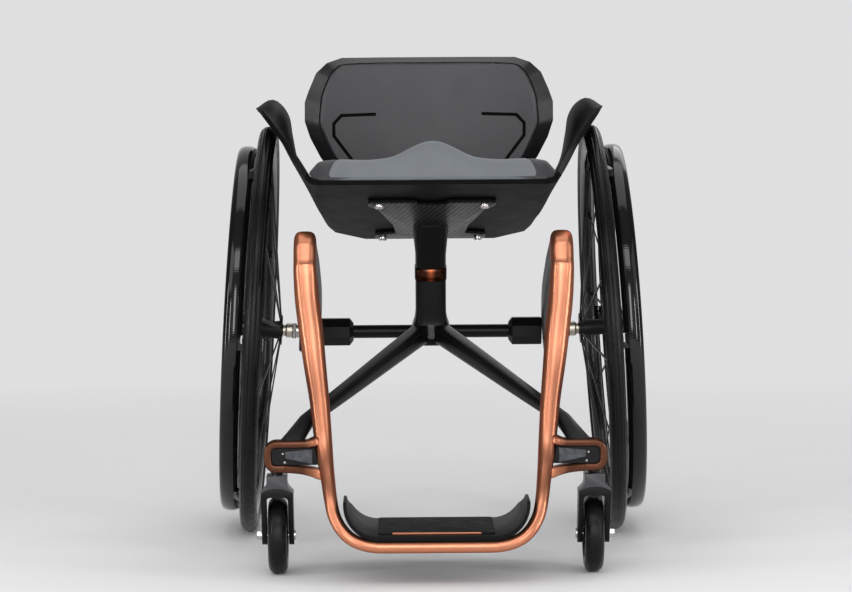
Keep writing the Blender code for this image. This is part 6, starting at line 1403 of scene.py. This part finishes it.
CHANNEL = ((0.0780, 0.6030), (0.1290, 0.6015), (0.1402, 0.5895), (0.1402, 0.5715), (0.1130, 0.5350), (0.0960, 0.5120))
CHANNEL_HALF_WIDTH, CHANNEL_DEPTH, CHANNEL_MARGIN = 0.0024, 0.0026, 0.006
PAD_TOP, PAD_BOTTOM, PAD_FIT = 0.6783, 0.4937, 0.992  # the last as a share of the shell's inner edge
PAD_ROWS, PAD_COLUMNS = 70, 90
PAD_PROUD, PAD_ROLL, PAD_ROLL_WIDTH = 0.0010, 0.0025, 0.0030  # its edge rolls back by PAD_ROLL


def back_surface(x, z):
    """Y of the pad's front at a place in front view."""
    return BACK_Y - BACK_WRAP * (x / BACK_HALF_WIDTH) ** 2 + math.tan(BACK_LEAN) * (z - HINGE_Z)


def straight_half(half, steps=6):
    """Half outline with each side cut in steps and its corners kept."""
    points = [(xa + (xb - xa) * i / steps, za + (zb - za) * i / steps)
              for (xa, za), (xb, zb) in zip(half, half[1:]) for i in range(steps)]
    return points + [half[-1]]


def back_ring(outline, share, depth):
    """Ring at a share of an outline, set behind the pad's front by a depth."""
    ring = []
    for x, z in outline:
        u, w = x * share, BACK_CENTRE_Z + (z - BACK_CENTRE_Z) * share
        ring.append((u, back_surface(u, w) + depth, w))
    return ring


def domed(rings, front, rear):
    """Closed shape from rings that go round its edge, closed to a point in front and behind."""
    count = len(rings[0])
    points = [point for ring in rings for point in ring] + [front, rear]
    faces = [face for row in range(len(rings) - 1) for face in band(row * count, (row + 1) * count, count)]
    last = (len(rings) - 1) * count
    for i in range(count):
        j = (i + 1) % count
        faces += [(len(points) - 2, j, i), (len(points) - 1, last + i, last + j)]
    return mesh_of(points, faces)


def back_lug(side):
    """Arm on the rear of the back's shell that reaches down round the hinge pin."""
    high = BRACKET_X - GAP
    low = high - LUG_WIDTH
    bite = BACK_RECESS + 0.6 * BACK_SHELL_THICKNESS
    top, neck = (back_surface(low, z) + bite for z in (LUG_TOP, LUG_NECK))
    outline = arc((HINGE_Y, HINGE_Z), HINGE_EAR_RADIUS, -200, 20, 28)
    outline += [(HINGE_Y + LUG_REACH, 0.5200), (top + LUG_REACH, LUG_TOP), (top, LUG_TOP), (neck, LUG_NECK)]
    lug = prism(outline, *sorted((side * low, side * high)), "X")
    return bevelled(lug, 0.0008, 2, 40)


def back_shell_mesh():
    """Shell with a faceted rim round the seat of the pad, and two lugs on the hinge's axis."""
    outer, inner = mirrored_outline(straight_half(BACK_OUTER)), mirrored_outline(smooth(BACK_INNER, 6))
    floor, rear = BACK_RECESS, BACK_RECESS + BACK_SHELL_THICKNESS
    shares = (0.97, 0.9, 0.8, 0.7, 0.6, 0.5, 0.4, 0.3, 0.2, 0.1)
    rings = [back_ring(inner, share, floor) for share in reversed(shares)]
    rings += [back_ring(inner, 1.0, floor), back_ring(inner, 1.0, 0.0006), back_ring(inner, 1.004, 0.0),
              back_ring(outer, 1.0, BACK_LIP_SET), back_ring(outer, 0.996, BACK_LIP_SET + 0.0028),
              back_ring(outer, 0.985, BACK_LIP_SET + 0.0040)]
    rings += [back_ring(inner, share, rear) for share in shares]
    middle = back_surface(0, BACK_CENTRE_Z)
    mesh = domed(rings, (0, middle + floor, BACK_CENTRE_Z), (0, middle + rear, BACK_CENTRE_Z))
    mesh = union(mesh, back_lug(1), back_lug(-1))
    return subtract(mesh, moved(drill(-0.2, 0.2, HINGE_BORE), Matrix.Translation((0, HINGE_Y, HINGE_Z))))


def half_width_at(outline, z):
    """Half width of an outline at a height."""
    best = 0.0
    for (xa, za), (xb, zb) in zip(outline, outline[1:]):
        if min(za, zb) - 1e-9 <= z <= max(za, zb) + 1e-9 and abs(zb - za) > 1e-9:
            best = max(best, xa + (xb - xa) * (z - za) / (zb - za))
    return best


def channel_cutter(side):
    """Square-edged groove along a path in front view, cut down to a depth behind the pad's face."""
    path = [Vector(place) for place in CHANNEL]
    fine = []
    for start, end in zip(path, path[1:]):
        fine += [start.lerp(end, i / 10) for i in range(10)]
    fine.append(path[-1])
    rings, floor = [], CHANNEL_DEPTH - PAD_PROUD
    for i, spot in enumerate(fine):
        ahead = (fine[min(i + 1, len(fine) - 1)] - spot).normalized()
        behind = (spot - fine[max(i - 1, 0)]).normalized()
        run = (ahead + behind).normalized()
        reach = CHANNEL_HALF_WIDTH / max(run.dot(ahead), run.dot(behind))
        normal = Vector((-run.y, run.x)) * reach
        ring = []
        for edge, depth in ((1, -0.004), (1, floor), (-1, floor), (-1, -0.004)):
            x, z = spot + normal * edge
            ring.append((side * x, back_surface(x, z) + depth, z))
        rings.append(ring)
    return loft(rings)


def back_pad_mesh():
    """Thin pad with a channel pressed in at each side, drawn as a grid in front view."""
    outline = smooth(BACK_INNER, 6)
    front = []
    for r in range(PAD_ROWS + 1):
        z = PAD_BOTTOM + (PAD_TOP - PAD_BOTTOM) * r / PAD_ROWS
        half = half_width_at(outline, BACK_CENTRE_Z + (z - BACK_CENTRE_Z) / PAD_FIT) * PAD_FIT
        front.append([])
        for c in range(PAD_COLUMNS + 1):
            x = half * (2 * c / PAD_COLUMNS - 1)
            rim = min(half - abs(x), z - PAD_BOTTOM, PAD_TOP - z)
            roll = PAD_ROLL * (1 - min(1.0, rim / PAD_ROLL_WIDTH)) ** 2
            front[-1].append((x, back_surface(x, z) - PAD_PROUD + roll, z))
    rear = [[(x, back_surface(x, z) + BACK_RECESS - GAP, z) for x, _, z in row] for row in front]
    pad = subtract(between_grids(front, rear), channel_cutter(1), channel_cutter(-1))
    # Faces inside each channel take the second material, which paints the shade in the groove.
    for face in pad.polygons:
        depth = max(y - back_surface(x, z) for x, y, z in (pad.vertices[i].co for i in face.vertices))
        x, _, z = face.center
        inside = (half_width_at(outline, z) - abs(x) > CHANNEL_MARGIN
                  and PAD_BOTTOM + CHANNEL_MARGIN < z < PAD_TOP - CHANNEL_MARGIN)
        face.material_index = int(inside and -0.0008 < depth < CHANNEL_DEPTH)
    return pad


def bracket_mesh(side):
    """Bracket that stands on the pan behind the cushion, with an ear outside the shell's lug."""
    front, rear = 0.0530, SHELL_STATIONS[-1][0] + 0.0005
    outline = [(front, pan_top(front)), (rear, pan_top(rear))]
    outline += arc((HINGE_Y, HINGE_Z), HINGE_EAR_RADIUS, -60, 150, 28)
    outline += [(rear - 0.6 * BRACKET_THICKNESS, pan_top(rear) + 1.9 * BRACKET_THICKNESS),
                (front, pan_top(front) + BRACKET_THICKNESS)]
    bracket = prism(outline, *sorted((side * BRACKET_X, side * (BRACKET_X + BRACKET_WIDTH))), "X")
    return bevelled(bracket, 0.0008, 3, 40)


def build_back():
    piece("back_frame", back_shell_mesh(), "back_plastic", "back", "back_shell", angle=9)
    mesh = back_pad_mesh()
    pad = piece("back_cushion", mesh, "back_cover", "back", "back_pad", angle=40)
    # Second material: painted shade inside the channels.
    mesh.materials.append(looks["channel_painted_shade"])
    face = BRACKET_X + BRACKET_WIDTH + GAP
    head = [(face, 0.0040), (face, 0.0064), (face + 0.0006, 0.0070), (face + 0.0022, 0.0070), (face + 0.0030, 0.0060)]
    pin = spindle([(-x, radius) for x, radius in reversed(head)] + head)
    piece("hinge_rod", pin, "polished_steel", "seat", "back_hinge_pin",
          CHAIR @ Matrix.Translation((0, HINGE_Y, HINGE_Z)))
    for name, side in SIDES.items():
        piece("hinge_bracket_" + name, bracket_mesh(side), "satin_black", "seat", "back_bracket_" + name)


# What keeps its solid

def dress_nodes():
    """The solids whose shape is right keep it, with rounded edges and their own look."""
    for item in frame["nodes"].values():
        item.material_slots[0].material = looks[item.material_slots[0].material.name]
        if not item.hide_render:
            item.modifiers.new("weld", "WELD").merge_threshold = 1e-6
            add_bevel(item, 0.0006, 2)


looks = {name: look.material for made in (coppers(), blacks(), metals_and_lens(), covers())
         for name, look in made.items()}
make_camera()
make_world()
make_lamps()
make_floor()
build_wheels()
build_casters()
build_front()
build_chassis()
build_footrest()
build_seat()
build_back()
dress_nodes()
